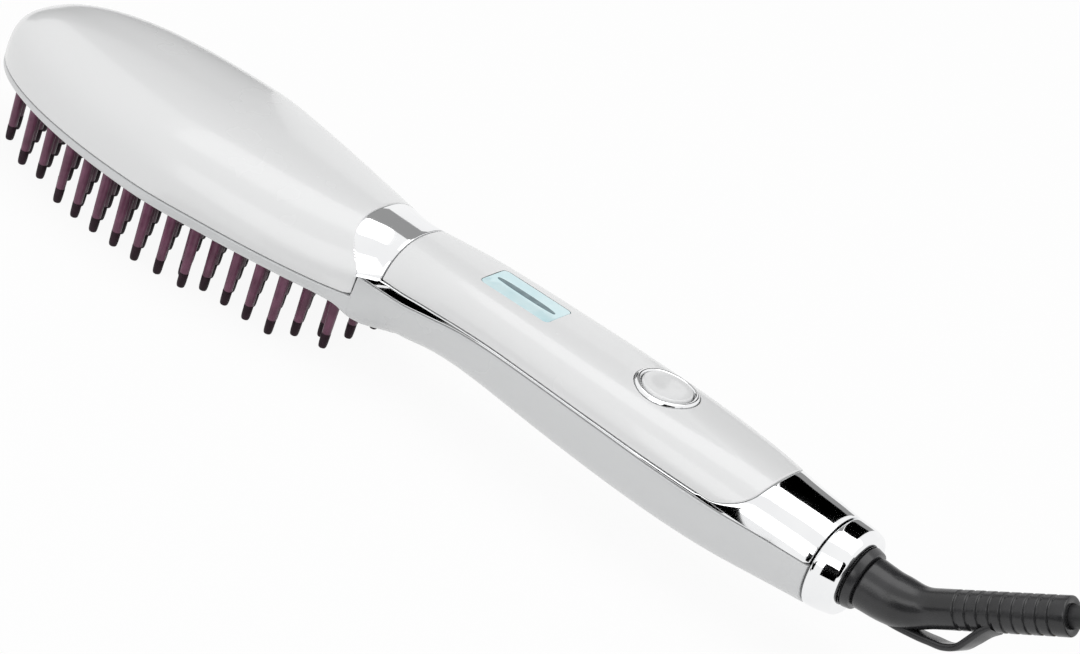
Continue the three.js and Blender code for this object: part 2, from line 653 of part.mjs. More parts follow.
function makeBaseShell() {
  const trim = trimLine(0, COVER_REAR_SIDE_X + SEAM_GAP, TAIL_X + 2);
  const below = [[PROFILE_FRONT_X, PARTING_Z - 30], [TAIL_X + 2, PARTING_Z - 30], ...trim.reverse(),
    [COVER_REAR_SIDE_X + SEAM_GAP, PARTING_Z - SEAM_GAP / 2], [PROFILE_FRONT_X, PARTING_Z - SEAM_GAP / 2]];
  let base = outerForm.intersect(toSolid(sideProfile(below, ACROSS)));
  const region = box(NECK_FRONT_X + 2.5, TAIL_X + 5, -ACROSS, ACROSS, 0, BODY_TOP_Z);
  const cavity = innerForm.intersect(toSolid(region));
  base = base.subtract(cavity);
  const mouth = headOutline(FLANGE_DEPTH, BED_REAR_X - FLANGE_DEPTH);
  base = base.subtract(toSolid(plate(mouth, 0, PARTING_Z + 1)));
  const recess = headOutline(RIM_WALL, BED_REAR_X + SEAT_GAP);
  base = base.subtract(toSolid(plate(recess, 0, PARTING_Z - SEAM_GAP / 2 - FLANGE_THICK)));
  BOARD_POST_XS.forEach((x) => {
    const foot = floorZ(x, POST_RADIUS, SHELL_WALL) - SHELL_WALL / 2;
    base = base.add(toSolid(post(x, 0, foot, BOARD_Z - SEAT_GAP, POST_RADIUS, 10)));
    base = base.subtract(toSolid(post(x, 0, BOARD_Z - SEAT_GAP - 6, BOARD_Z, HOLE_RADIUS, SCREW_SIDES)));
  });
  handleScrewPlaces.forEach(([x, y]) => {
    const foot = floorZ(x, Math.abs(y) + BOSS_RADIUS, SHELL_WALL) - SHELL_WALL / 2;
    const top = PARTING_Z + 3;
    base = base.add(toSolid(post(x, y, foot, top, BOSS_RADIUS)));
    base = base.subtract(toSolid(post(x, y, 0, BODY_TOP_Z, HOLE_RADIUS, SCREW_SIDES)));
    const seatZ = handleScrewZ() + SCREW_HEAD_HEIGHT;
    base = base.subtract(toSolid(post(x, y, 0, seatZ + SEAT_GAP, SCREW_HEAD_RADIUS + SEAT_GAP, 10)));
  });
  return base;
}

// The two handle screws sit this far up in the underside
function handleScrewZ() {
  return floorZ(HANDLE_SCREW_X, HANDLE_SCREW_Y) + 1.2;
}

const PANEL_BOSS_Z = PARTING_Z + 3 + SEAT_GAP;

function makeTopPanel() {
  let panel = shell.intersect(toSolid(sideProfile(panelProfile(0), ACROSS)));
  handleScrewPlaces.forEach(([x, y]) => {
    const top = roofZ(x, Math.abs(y) + BOSS_RADIUS, SHELL_WALL) + SHELL_WALL / 2;
    panel = panel.add(toSolid(post(x, y, PANEL_BOSS_Z, top, BOSS_RADIUS)));
    panel = panel.subtract(toSolid(post(x, y, 0, PANEL_BOSS_Z + BOSS_HOLE_DEPTH, HOLE_RADIUS, SCREW_SIDES)));
  });
  const hole = panelPlate(WINDOW_LENGTH / 2 + SEAM_GAP, WINDOW_WIDTH / 2 + SEAM_GAP, WINDOW_CORNER);
  const holeSolid = toSolid(plate(hole, PARTING_Z + 12, BODY_TOP_Z).translate(WINDOW_X, 0, 0));
  panel = panel.subtract(holeSolid);
  const ringRadius = BUTTON_RADIUS + BUTTON_GAP + BUTTON_RING_WIDTH;
  const ringHole = post(BUTTON_X, 0, PARTING_Z + 12, BODY_TOP_Z, ringRadius + SEAM_GAP, 32);
  return panel.subtract(toSolid(ringHole));
}

function makeBezel() {
  const rear = TAIL_X + 2;
  const lower = trimLine(SEAM_GAP, COVER_REAR_TOP_X - 2, rear);
  const above = [...lower, [rear, BODY_TOP_Z], [COVER_REAR_TOP_X - 2, BODY_TOP_Z]];
  return shell.intersect(toSolid(sideProfile(above, ACROSS)))
    .subtract(toSolid(sideProfile(coverProfile(SEAM_GAP), ACROSS)))
    .subtract(toSolid(sideProfile(panelProfile(SEAM_GAP), ACROSS)));
}

// The end ring carries the handle's own section on to the swivel
function makeEndRing() {
  const rings = [RING_FRONT_X, RING_REAR_X - 0.8, RING_REAR_X].map((x, i) => {
    const section = sectionAt(x, i === 2 ? 0.6 : 0);
    section.half = (i === 2 ? -0.6 : 0) + through(WIDTH_LINE, x);
    return sectionRing(section, FORM_POINTS);
  });
  const body = toSolid(loft(rings, centreOf(rings[0]), centreOf(rings[2])));
  const bore = turned([[RING_FRONT_X - 1, 0], [RING_FRONT_X - 1, END_RING_BORE_RADIUS],
    [RING_REAR_X + 1, END_RING_BORE_RADIUS], [RING_REAR_X + 1, 0]], 28);
  return body.subtract(toSolid(bore));
}

addPart('head_back_cover', toGeometry(makeBackCover()), 'white');
addPart('base_shell', toGeometry(makeBaseShell()), 'pale');
addPart('handle_top_panel', toGeometry(makeTopPanel()), 'white');
addPart('chrome_bezel', toGeometry(makeBezel()), 'chrome');
addPart('chrome_end_ring', toGeometry(makeEndRing()), 'chrome');

// Head: bed, pins and heater

function makeBed() {
  const outline = headOutline(RIM_WALL + SEAT_GAP, BED_REAR_X);
  let bed = toSolid(plate(outline, BED_BOTTOM_Z, BED_BOTTOM_Z + BED_THICK));
  headScrewPlaces.forEach(([x, y]) => {
    bed = bed.subtract(toSolid(post(x, y, BED_BOTTOM_Z - 1, PARTING_Z, HOLE_RADIUS, SCREW_SIDES)));
  });
  return wasm.Manifold.union([bed, ...makePins()]);
}

function makeHeatingPlate() {
  const outline = headOutline(SHELL_WALL + PLATE_EDGE_GAP, BED_REAR_X - FLANGE_DEPTH + 2);
  let body = toSolid(plate(outline, PLATE_Z, PLATE_TOP_Z));
  headScrewPlaces.concat(clampScrewXs().map((x) => [x, 0])).forEach(([x, y]) => {
    body = body.subtract(toSolid(post(x, y, PLATE_Z - 1, PLATE_TOP_Z + 1, HOLE_RADIUS, SCREW_SIDES)));
  });
  return body;
}

// The pin field's half width at x: an ellipse in front, along the rim behind, and rounded at the rear
function fieldHalf(x) {
  const ahead = Math.max((HEAD_WIDEST_X - x) / PIN_FIELD_REACH, 0);
  const front = PIN_FIELD_HALF * Math.sqrt(1 - ahead ** 2);
  return Math.min(front, headHalf(x) - PIN_EDGE_INSET, rearRound(x, PIN_FIELD_REAR_X, PIN_EDGE_INSET));
}

const PINS_IN_LINE = Math.floor((PIN_FIELD_REAR_X - PIN_FIRST_X) / PIN_PITCH) + 1;

// Pin places. A pin of an outer line that would miss the field is moved in to its edge, if that isn't far.
function pinPlaces() {
  const places = [];
  for (let line = -PIN_LINES_EACH_SIDE; line <= PIN_LINES_EACH_SIDE; line += 1) {
    const y = line * PIN_LINE_PITCH;
    const firstX = PIN_FIRST_X - (Math.abs(line) % 2) * (PIN_PITCH / 2);
    for (let i = 0; i < PINS_IN_LINE; i += 1) {
      const x = firstX + i * PIN_PITCH;
      const edge = fieldHalf(x);
      if (Math.abs(y) - edge <= PIN_MOST_SHIFT) {
        places.push([x, Math.sign(y) * Math.min(Math.abs(y), edge)]);
      }
    }
  }
  return places;
}

// Each pin tapers to its tip, which is rounded off to a small flat
function makePins() {
  const profile = [[0, 0], [TIP_END_RADIUS, 0], [PIN_END_RADIUS, TIP_ROUNDING],
    [PIN_ROOT_RADIUS, BED_BOTTOM_Z + BED_THICK / 2], [0, BED_BOTTOM_Z + BED_THICK / 2]];
  const points = profile.map(([r, z]) => new THREE.Vector2(r, z));
  return pinPlaces().map(([x, y]) => {
    const pin = new THREE.LatheGeometry(points, PIN_SIDES).rotateX(HALF_TURN / 2);
    return toSolid(pin.translate(x, y, 0));
  });
}

const ELEMENT_Z = PLATE_TOP_Z + SEAT_GAP;
const SHEET_Z = ELEMENT_Z + ELEMENT_THICK + SEAT_GAP;
const CLAMP_UNDER_Z = SHEET_Z + SHEET_THICK + SEAT_GAP;
const ELEMENT_FRONT_X = ELEMENT_MID_X - ELEMENT_LENGTH / 2;
const ELEMENT_REAR_X = ELEMENT_MID_X + ELEMENT_LENGTH / 2;
const LEG_X = ELEMENT_LENGTH / 2 + SHEET_MARGIN + SEAT_GAP;

function clampScrewXs() {
  const reach = LEG_X + CLAMP_METAL + CLAMP_FOOT / 2;
  return [ELEMENT_MID_X - reach, ELEMENT_MID_X + reach];
}

function makeElements() {
  return [-ELEMENT_Y, ELEMENT_Y].map((y) => box(
    ELEMENT_FRONT_X,
    ELEMENT_REAR_X,
    y - ELEMENT_WIDTH / 2,
    y + ELEMENT_WIDTH / 2,
    ELEMENT_Z,
    ELEMENT_Z + ELEMENT_THICK,
  ));
}

// The clamp is a hat-shaped strap with a foot at each end
function makeClamp() {
  const foot = LEG_X + CLAMP_METAL + CLAMP_FOOT;
  const half = [[LEG_X, CLAMP_UNDER_Z], [LEG_X, ELEMENT_Z], [foot, ELEMENT_Z],
    [foot, ELEMENT_Z + CLAMP_METAL],
    [LEG_X + CLAMP_METAL, ELEMENT_Z + CLAMP_METAL], [LEG_X + CLAMP_METAL, CLAMP_UNDER_Z + CLAMP_METAL]];
  const right = half.map(([x, z]) => [ELEMENT_MID_X + x, z]);
  const left = half.map(([x, z]) => [ELEMENT_MID_X - x, z]).reverse();
  let clamp = toSolid(sideProfile([...right, ...left], CLAMP_WIDTH / 2));
  clampScrewXs().forEach((x) => {
    clamp = clamp.subtract(toSolid(post(x, 0, 0, BODY_TOP_Z, HOLE_RADIUS, SCREW_SIDES)));
  });
  return clamp;
}

addPart('heated_pin_bed', toGeometry(makeBed()), 'plum');
addPart('heating_plate', toGeometry(makeHeatingPlate()), 'aluminium');
addEach('heating_element', makeElements(), 'ceramic');
addPart('insulation_sheet', box(
  ELEMENT_FRONT_X - SHEET_MARGIN,
  ELEMENT_REAR_X + SHEET_MARGIN,
  -SHEET_WIDTH / 2,
  SHEET_WIDTH / 2,
  SHEET_Z,
  SHEET_Z + SHEET_THICK,
), 'ceramic');
addPart('heater_clamp', toGeometry(makeClamp()), 'steel');
const CLAMP_SCREW_Z = ELEMENT_Z + CLAMP_METAL + SEAT_GAP + SCREW_HEAD_HEIGHT;
addEach('clamp_screw', clampScrewXs().map(
  (x) => screw(x, 0, CLAMP_SCREW_Z, CLAMP_SCREW_Z - PLATE_Z, false),
), 'steel');
addEach('head_screw', headScrewPlaces.map(
  ([x, y]) => screw(x, y, BED_BOTTOM_Z - SEAT_GAP - SCREW_HEAD_HEIGHT, HEAD_SCREW_LENGTH, true),
), 'steel');
addPart('thermal_cutout', box(
  CUTOUT_X - CUTOUT_SIZE[0] / 2,
  CUTOUT_X + CUTOUT_SIZE[0] / 2,
  CUTOUT_Y - CUTOUT_SIZE[1] / 2,
  CUTOUT_Y + CUTOUT_SIZE[1] / 2,
  ELEMENT_Z,
  ELEMENT_Z + CUTOUT_SIZE[2],
), 'black');
const sensorBead = new THREE.CapsuleGeometry(SENSOR_RADIUS, SENSOR_LENGTH - 2 * SENSOR_RADIUS, 3, 8);
sensorBead.rotateZ(HALF_TURN / 2).translate(CUTOUT_X, SENSOR_Y, ELEMENT_Z + SENSOR_RADIUS);
addPart('temperature_sensor', bareGeometry(sensorBead), 'ceramic');

// Wires inside

function wire(points) {
  const curve = new THREE.CatmullRomCurve3(points.map(([x, y, z]) => new THREE.Vector3(x, y, z)));
  return tube(curve, WIRE_RADIUS, 6, 2 * (points.length - 1));
}

const WIRE_BOARD_Z = BOARD_TOP_Z + SEAT_GAP + WIRE_RADIUS;
const WIRE_START_Z = ELEMENT_Z + ELEMENT_THICK / 2;
// From the heater's end over the plate, through the neck, and onto the board
const heaterWires = [-1, 1].map((side) => wire([
  [ELEMENT_REAR_X + SEAT_GAP, side * ELEMENT_Y, WIRE_START_Z],
  [ELEMENT_REAR_X + WIRE_LEAVES, side * ELEMENT_Y, WIRE_START_Z],
  [ELEMENT_REAR_X + 3 * WIRE_LEAVES, side * (ELEMENT_Y - 2 * WIRE_RADIUS), WIRE_START_Z + WIRE_LEAVES],
  [ELEMENT_REAR_X + 6 * WIRE_LEAVES, side * WIRE_CRADLE_Y, WIRE_START_Z + 2 * WIRE_LEAVES],
  [NECK_FRONT_X - 2, side * WIRE_CRADLE_Y, WIRE_BOARD_Z - 1],
  [NECK_X - 2 * WIRE_LEAVES, side * WIRE_NECK_Y, WIRE_BOARD_Z],
  [NECK_X + WIRE_LEAVES, side * WIRE_NECK_Y, WIRE_BOARD_Z],
  [BOARD_FRONT_X + WIRE_LEAVES / 2, side * (WIRE_PAD_Y - 2 * WIRE_RADIUS), WIRE_BOARD_Z],
  [BOARD_FRONT_X + 2 * WIRE_LEAVES, side * WIRE_PAD_Y, WIRE_BOARD_Z],
]));
addEach('heater_wire', heaterWires, 'wire');

// Handle: display, button and circuit board

function makeWindow() {
  const outline = panelPlate(WINDOW_LENGTH / 2, WINDOW_WIDTH / 2, WINDOW_CORNER);
  const prism = toSolid(plate(outline, PARTING_Z + 12, BODY_TOP_Z).translate(WINDOW_X, 0, 0));
  const under = outerForm.translate([0, 0, -WINDOW_THICK]);
  return outerForm.intersect(prism).subtract(under);
}

addPart('display_window', toGeometry(makeWindow()), 'lens');

const BACKLIGHT_Z = BOARD_TOP_Z + SEAT_GAP;
const LCD_Z = BACKLIGHT_Z + BACKLIGHT_THICK + SEAT_GAP;
const LCD_TOP_Z = LCD_Z + LCD_THICK;

function lcdSlab(z0, z1) {
  return box(WINDOW_X - LCD_LENGTH / 2, WINDOW_X + LCD_LENGTH / 2, -LCD_WIDTH / 2, LCD_WIDTH / 2, z0, z1);
}

addPart('backlight_panel', lcdSlab(BACKLIGHT_Z, LCD_Z - SEAT_GAP), 'ceramic');
addPart('lcd_glass', lcdSlab(LCD_Z, LCD_TOP_Z), 'screen');

function makeLcdFrame() {
  const halfLength = LCD_LENGTH / 2 + SEAT_GAP;
  const halfWidth = LCD_WIDTH / 2 + SEAT_GAP;
  const outer = panelPlate(halfLength + LCD_FRAME_WALL, halfWidth + LCD_FRAME_WALL, 1);
  outer.holes.push(new THREE.Path(panelPlate(halfLength, halfWidth, 0.2).getPoints(2)));
  return plate(outer, BACKLIGHT_Z, LCD_TOP_Z + 0.2).translate(WINDOW_X, 0, 0);
}

addPart('lcd_frame', bareGeometry(makeLcdFrame()), 'black');

// The button's parts follow the handle's crowned back, raised by proud and depth thick
function crownedDisc(outerRadius, innerRadius, proud, depth, sides) {
  let disc = toSolid(post(BUTTON_X, 0, PARTING_Z + 8, BODY_TOP_Z, outerRadius, sides));
  if (innerRadius > 0) {
    disc = disc.subtract(toSolid(post(BUTTON_X, 0, PARTING_Z + 7, BODY_TOP_Z + 1, innerRadius, sides)));
  }
  const upper = outerForm.translate([0, 0, proud]);
  const lower = outerForm.translate([0, 0, proud - depth]);
  return upper.intersect(disc).subtract(lower);
}

const SWITCH_Z = BOARD_TOP_Z + SEAT_GAP;
const SWITCH_TOP_Z = SWITCH_Z + SWITCH_SIZE[2];
const PLUNGER_TOP_Z = SWITCH_TOP_Z + BUTTON_TRAVEL + 0.2;

function makeButton() {
  const cap = crownedDisc(BUTTON_RADIUS, 0, BUTTON_PROUD, BUTTON_SKIN, 28);
  const stemTop = roofZ(BUTTON_X, STEM_RADIUS) + BUTTON_PROUD - BUTTON_SKIN / 2;
  return cap.add(toSolid(post(BUTTON_X, 0, PLUNGER_TOP_Z + SEAT_GAP, stemTop, STEM_RADIUS, 12)));
}

const ringInner = BUTTON_RADIUS + BUTTON_GAP;
const ringOuter = ringInner + BUTTON_RING_WIDTH;
addPart('button_ring', toGeometry(crownedDisc(ringOuter, ringInner, RING_PROUD, RING_DEPTH, 32)), 'chrome');
addPart('power_button', toGeometry(makeButton()), 'white');
const PLUNGER_DEPTH = 1;
addPart('switch_plunger', bareGeometry(
  post(BUTTON_X, 0, SWITCH_TOP_Z - PLUNGER_DEPTH, PLUNGER_TOP_Z, PLUNGER_RADIUS, 10),
), 'black');

function makeSwitch() {
  const [length, width] = SWITCH_SIZE;
  const body = toSolid(block([length, width, SWITCH_TOP_Z - SWITCH_Z], BUTTON_X, SWITCH_Z));
  const depth = PLUNGER_DEPTH + BUTTON_TRAVEL + SEAT_GAP;
  const well = post(BUTTON_X, 0, SWITCH_TOP_Z - depth, SWITCH_TOP_Z + 1, PLUNGER_RADIUS + SEAT_GAP, 10);
  return body.subtract(toSolid(well));
}

addPart('tact_switch', toGeometry(makeSwitch()), 'steel');

function makeBoard() {
  const halfWidth = BOARD_WIDTH / 2;
  let board = toSolid(box(BOARD_FRONT_X, BOARD_REAR_X, -halfWidth, halfWidth, BOARD_Z, BOARD_TOP_Z));
  BOARD_POST_XS.forEach((x) => {
    board = board.subtract(toSolid(post(x, 0, BOARD_Z - 1, BOARD_TOP_Z + 1, HOLE_RADIUS, SCREW_SIDES)));
  });
  return board;
}

addPart('main_board', toGeometry(makeBoard()), 'board');
const BOARD_SCREW_Z = BOARD_TOP_Z + SEAT_GAP + SCREW_HEAD_HEIGHT;
const BOARD_SCREW_LENGTH = 8;
const boardScrews = BOARD_POST_XS.map((x) => screw(x, 0, BOARD_SCREW_Z, BOARD_SCREW_LENGTH, false));
addEach('board_screw', boardScrews, 'steel');

const UNDER_BOARD_Z = BOARD_Z - SEAT_GAP;

// A block of length, width and height with its middle at x and its underside at z
function block([length, width, height], x, z) {
  return box(x - length / 2, x + length / 2, -width / 2, width / 2, z, z + height);
}

addPart('filter_capacitor', block(FILTER_SIZE, FILTER_X, UNDER_BOARD_Z - FILTER_SIZE[2]), 'black');
const canister = new THREE.CylinderGeometry(CANISTER_RADIUS, CANISTER_RADIUS, CANISTER_LENGTH, 14);
canister.rotateZ(HALF_TURN / 2).translate(CANISTER_X, 0, UNDER_BOARD_Z - CANISTER_RADIUS);
addPart('smoothing_capacitor', bareGeometry(canister), 'black');
addPart('triac', block(TRIAC_SIZE, TRIAC_X, UNDER_BOARD_Z - TRIAC_SIZE[2]), 'black');
addPart('control_chip', block(CHIP_SIZE, CHIP_X, SWITCH_Z), 'black');
const buzzer = post(BUZZER_X, 0, SWITCH_Z, SWITCH_Z + BUZZER_HEIGHT, BUZZER_RADIUS, 16);
addPart('buzzer', bareGeometry(buzzer), 'black');

const handleScrewLength = PANEL_BOSS_Z + 8 - handleScrewZ();
addEach('handle_screw', handleScrewPlaces.map(
  ([x, y]) => screw(x, y, handleScrewZ(), handleScrewLength, true),
), 'steel');

// Tail: swivel and its sliding contacts

const STOP_X = BEARING_FRONT_X - SEAM_GAP - BARREL_STOP_LENGTH;
addPart('swivel_bearing', bareGeometry(turned([
  [BEARING_FRONT_X, BARREL_RADIUS + SEAT_GAP],
  [BEARING_FRONT_X, BEARING_RADIUS],
  [RING_REAR_X, BEARING_RADIUS],
  [RING_REAR_X, BARREL_RADIUS + SEAT_GAP],
])), 'black');
addPart('swivel_barrel', bareGeometry(turned([
  [STUB_FRONT_X, BARREL_BORE_RADIUS],
  [STUB_FRONT_X, STUB_RADIUS],
  [STOP_X, STUB_RADIUS],
  [STOP_X, BARREL_STOP_RADIUS],
  [STOP_X + BARREL_STOP_LENGTH, BARREL_STOP_RADIUS],
  [STOP_X + BARREL_STOP_LENGTH, BARREL_RADIUS],
  [FLANGE_X, BARREL_RADIUS],
  [FLANGE_X, BARREL_FLANGE_RADIUS],
  [FLANGE_X + BARREL_FLANGE_LENGTH, BARREL_FLANGE_RADIUS - 0.5],
  [FLANGE_X + BARREL_FLANGE_LENGTH, BARREL_BORE_RADIUS],
])), 'black');
const slipInner = STUB_RADIUS + SEAT_GAP;
const slipOuter = slipInner + SLIP_RING_THICK;
addEach('slip_ring', SLIP_RING_XS.map((x) => bareGeometry(turned([
  [x, slipInner],
  [x, slipOuter],
  [x + SLIP_RING_LENGTH, slipOuter],
  [x + SLIP_RING_LENGTH, slipInner],
], 16))), 'brass');

const CARRIER_FRONT_X = STUB_FRONT_X;
const CARRIER_REAR_X = STOP_X - SEAM_GAP;
const CARRIER_TOP_Z = AXIS_Z + 7;
const brushXs = SLIP_RING_XS.map((x) => x + SLIP_RING_LENGTH / 2);

function makeCarrier() {
  const bottom = floorZ(CARRIER_REAR_X, CARRIER_SIDE / 2, SHELL_WALL) + SEAT_GAP;
  const half = CARRIER_SIDE / 2;
  let carrier = toSolid(box(CARRIER_FRONT_X, CARRIER_REAR_X, -half, half, bottom, CARRIER_TOP_Z));
  const boreRadius = slipOuter + CARRIER_BORE_CLEARANCE;
  const bore = turned([[CARRIER_FRONT_X - 1, 0], [CARRIER_FRONT_X - 1, boreRadius],
    [CARRIER_REAR_X + 1, boreRadius], [CARRIER_REAR_X + 1, 0]], 20);
  carrier = carrier.subtract(toSolid(bore));
  brushXs.forEach((x) => {
    carrier = carrier.subtract(toSolid(post(x, 0, AXIS_Z, CARRIER_TOP_Z + 1, BRUSH_RADIUS + SEAT_GAP, 8)));
  });
  return carrier;
}

addPart('contact_carrier', toGeometry(makeCarrier()), 'black');
const BRUSH_TOP_Z = CARRIER_TOP_Z + 0.6;
addEach('contact_brush', brushXs.map(
  (x) => post(x, 0, AXIS_Z + slipOuter + SEAT_GAP, BRUSH_TOP_Z, BRUSH_RADIUS, 8),
), 'brass');
const mainsWires = brushXs.map((x, i) => {
  const side = i === 0 ? -1 : 1;
  const overZ = BRUSH_TOP_Z + SEAT_GAP + WIRE_RADIUS;
  return wire([
    [x, 0, overZ],
    [x - 2 * WIRE_RADIUS, side * WIRE_PAD_Y / 2, overZ + SEAT_GAP],
    [BOARD_REAR_X + 4, side * (WIRE_PAD_Y - 0.5), WIRE_BOARD_Z],
    [BOARD_REAR_X - 1, side * WIRE_PAD_Y, WIRE_BOARD_Z],
    [BOARD_REAR_X - 5, side * WIRE_PAD_Y, WIRE_BOARD_Z],
  ]);
});
addEach('mains_wire', mainsWires, 'wire');

// Strain relief: a smooth base that bends up, a ribbed run, and a hanging loop beneath

const bend = THREE.MathUtils.degToRad(RELIEF_BEND_DEG);
const bendLength = RELIEF_BEND_RADIUS * bend;
const RIBS_START = RELIEF_TAPER_END + 0.6;
const RELIEF_LENGTH = RIBS_START + RELIEF_RIB_COUNT * RELIEF_RIB_PITCH + RELIEF_END_LENGTH;

// Point and direction of the relief's centre line at a distance along it
function reliefAt(s) {
  const straight = Math.min(s, RELIEF_STRAIGHT);
  const angle = Math.min(Math.max((s - RELIEF_STRAIGHT) / RELIEF_BEND_RADIUS, 0), bend);
  const after = Math.max(s - RELIEF_STRAIGHT - bendLength, 0);
  const point = new THREE.Vector3(
    RELIEF_X + straight + RELIEF_BEND_RADIUS * Math.sin(angle) + after * Math.cos(angle),
    0,
    AXIS_Z + RELIEF_BEND_RADIUS * (1 - Math.cos(angle)) + after * Math.sin(angle),
  );
  return { point, along: new THREE.Vector3(Math.cos(angle), 0, Math.sin(angle)) };
}

function reliefRing(s, radius) {
  const { point, along } = reliefAt(s);
  const up = new THREE.Vector3(-along.z, 0, along.x);
  const ring = [];
  for (let i = 0; i < RELIEF_SIDES; i += 1) {
    const angle = (2 * HALF_TURN * i) / RELIEF_SIDES;
    const side = new THREE.Vector3(0, radius * Math.cos(angle), 0);
    ring.push(point.clone().add(side).addScaledVector(up, radius * Math.sin(angle)));
  }
  return ring;
}

function makeRelief() {
  const stations = [[0, RELIEF_BASE_RADIUS], [RELIEF_STRAIGHT, RELIEF_BASE_RADIUS]];
  const taperStart = RELIEF_TAPER_END - RELIEF_TAPER_LENGTH;
  stations.push([(RELIEF_STRAIGHT + taperStart) / 2, RELIEF_BASE_RADIUS]);
  stations.push([taperStart, RELIEF_BASE_RADIUS - 0.2]);
  for (let i = 1; i <= 3; i += 1) {
    const share = i / 3;
    const eased = (1 - Math.cos(HALF_TURN * share)) / 2;
    const radius = RELIEF_BASE_RADIUS - 0.2 + (RELIEF_END_RADIUS - RELIEF_BASE_RADIUS + 0.2) * eased;
    stations.push([taperStart + share * RELIEF_TAPER_LENGTH, radius]);
  }
  for (let i = 0; i < RELIEF_RIB_COUNT; i += 1) {
    const start = RIBS_START + i * RELIEF_RIB_PITCH;
    const grooveEnd = start + RELIEF_RIB_PITCH - RELIEF_RIB_LENGTH;
    stations.push([start, RELIEF_END_RADIUS], [start + 0.2, RELIEF_END_RADIUS - RELIEF_GROOVE_DEPTH]);
    stations.push([grooveEnd - 0.2, RELIEF_END_RADIUS - RELIEF_GROOVE_DEPTH], [grooveEnd, RELIEF_END_RADIUS]);
  }
  stations.push([RELIEF_LENGTH, RELIEF_END_RADIUS]);
  const rings = stations.map(([s, radius]) => reliefRing(s, radius));
  const body = toSolid(loft(rings, reliefAt(0).point, reliefAt(RELIEF_LENGTH).point));
  return body.add(toSolid(makeLoop()));
}

// The loop's strap leaves the base's underside and comes back to the ribbed run
function makeLoop() {
  const below = (s, drop) => {
    const { point, along } = reliefAt(s);
    return point.addScaledVector(new THREE.Vector3(along.z, 0, -along.x), drop);
  };
  const curve = new THREE.CatmullRomCurve3(LOOP_LINE.map(([s, drop]) => below(s, drop)));
  const rings = [];
  const steps = 16;
  for (let i = 0; i <= steps; i += 1) {
    const point = curve.getPoint(i / steps);
    const along = curve.getTangent(i / steps);
    const out = new THREE.Vector3(along.z, 0, -along.x).multiplyScalar(LOOP_THICK / 2);
    const side = new THREE.Vector3(0, LOOP_WIDTH / 2, 0);
    rings.push([
      point.clone().add(out).add(side),
      point.clone().sub(out).add(side),
      point.clone().sub(out).sub(side),
      point.clone().add(out).sub(side),
    ]);
  }
  return loft(rings, curve.getPoint(0), curve.getPoint(1));
}

addPart('strain_relief', toGeometry(makeRelief()), 'rubber');

// Cord: an arc out of the strain relief, a tied coil on the surface, and a plug beside it

const CORD_RADIUS = CORD_DIAMETER / 2;
const COIL_Z = TIE_THICK + TIE_GAP + CORD_RADIUS;
const TURNS_PER_LAYER = COIL_TURNS / COIL_LAYERS;
const reliefEnd = reliefAt(RELIEF_LENGTH);

// Radius, height and bearing of the coil's centre line after a number of turns from its top end
function coilAt(turn) {
  const layer = Math.min(Math.floor(turn / TURNS_PER_LAYER), COIL_LAYERS - 1);
  const within = turn / TURNS_PER_LAYER - layer;
  const inward = layer % 2 === 0 ? within : 1 - within;
  const radius = COIL_MID_RADIUS + TURN_PITCH * TURNS_PER_LAYER * (0.5 - inward);
  let level = 0;
  for (let k = 1; k < COIL_LAYERS; k += 1) {
    level += THREE.MathUtils.clamp((turn - k * TURNS_PER_LAYER) / 0.5 + 0.5, 0, 1);
  }
  const angle = THREE.MathUtils.degToRad(COIL_START_DEG) + 2 * HALF_TURN * turn;
  return new THREE.Vector3(
    COIL_CENTRE_X + radius * Math.cos(angle),
    COIL_CENTRE_Y + radius * Math.sin(angle),
    COIL_Z + TURN_PITCH * (COIL_LAYERS - 1 - level),
  );
}

function coilEndDirection(turn, towards) {
  const step = 0.01;
  const direction = coilAt(turn).sub(coilAt(turn - towards * step)).setZ(0);
  return direction.normalize();
}

const coilStartDirection = coilEndDirection(0.01, -1).negate();
const coilFinishDirection = coilEndDirection(COIL_TURNS, 1);
const coilStart = coilAt(0).addScaledVector(coilStartDirection, -CORD_DIAMETER);
const coilFinish = coilAt(COIL_TURNS).addScaledVector(coilFinishDirection, CORD_DIAMETER);

function makeCoil() {
  const centres = [coilStart];
  const steps = Math.round(COIL_TURNS * COIL_STEPS_PER_TURN);
  for (let i = 0; i <= steps; i += 1) centres.push(coilAt((COIL_TURNS * i) / steps));
  centres.push(coilFinish);
  const rings = centres.map((centre, i) => {
    const before = centres[Math.max(i - 1, 0)];
    const after = centres[Math.min(i + 1, centres.length - 1)];
    const along = after.clone().sub(before).normalize();
    const side = new THREE.Vector3(along.y, -along.x, 0).normalize();
    const up = along.clone().cross(side);
    const ring = [];
    for (let k = 0; k < COIL_SIDES; k += 1) {
      const angle = (2 * HALF_TURN * k) / COIL_SIDES;
      const outward = side.clone().multiplyScalar(Math.cos(angle)).addScaledVector(up, Math.sin(angle));
      ring.push(centre.clone().addScaledVector(outward, CORD_RADIUS));
    }
    return ring;
  });
  return loft(rings, centres[0], centres[centres.length - 1]);
}

// Least clear distance between two stretches of the coil that are over half a turn apart
function coilSelfGap() {
  const steps = Math.round(COIL_TURNS * 2 * COIL_STEPS_PER_TURN);
  const points = Array.from({ length: steps + 1 }, (_, i) => coilAt((COIL_TURNS * i) / steps));
  let least = Infinity;
  for (let i = 0; i < points.length; i += 1) {
    for (let j = i + COIL_STEPS_PER_TURN; j < points.length; j += 1) {
      least = Math.min(least, points[i].distanceTo(points[j]));
    }
  }
  return least - CORD_DIAMETER;
}

console.log(`least gap between the coil's turns: ${coilSelfGap().toFixed(2)} mm`);

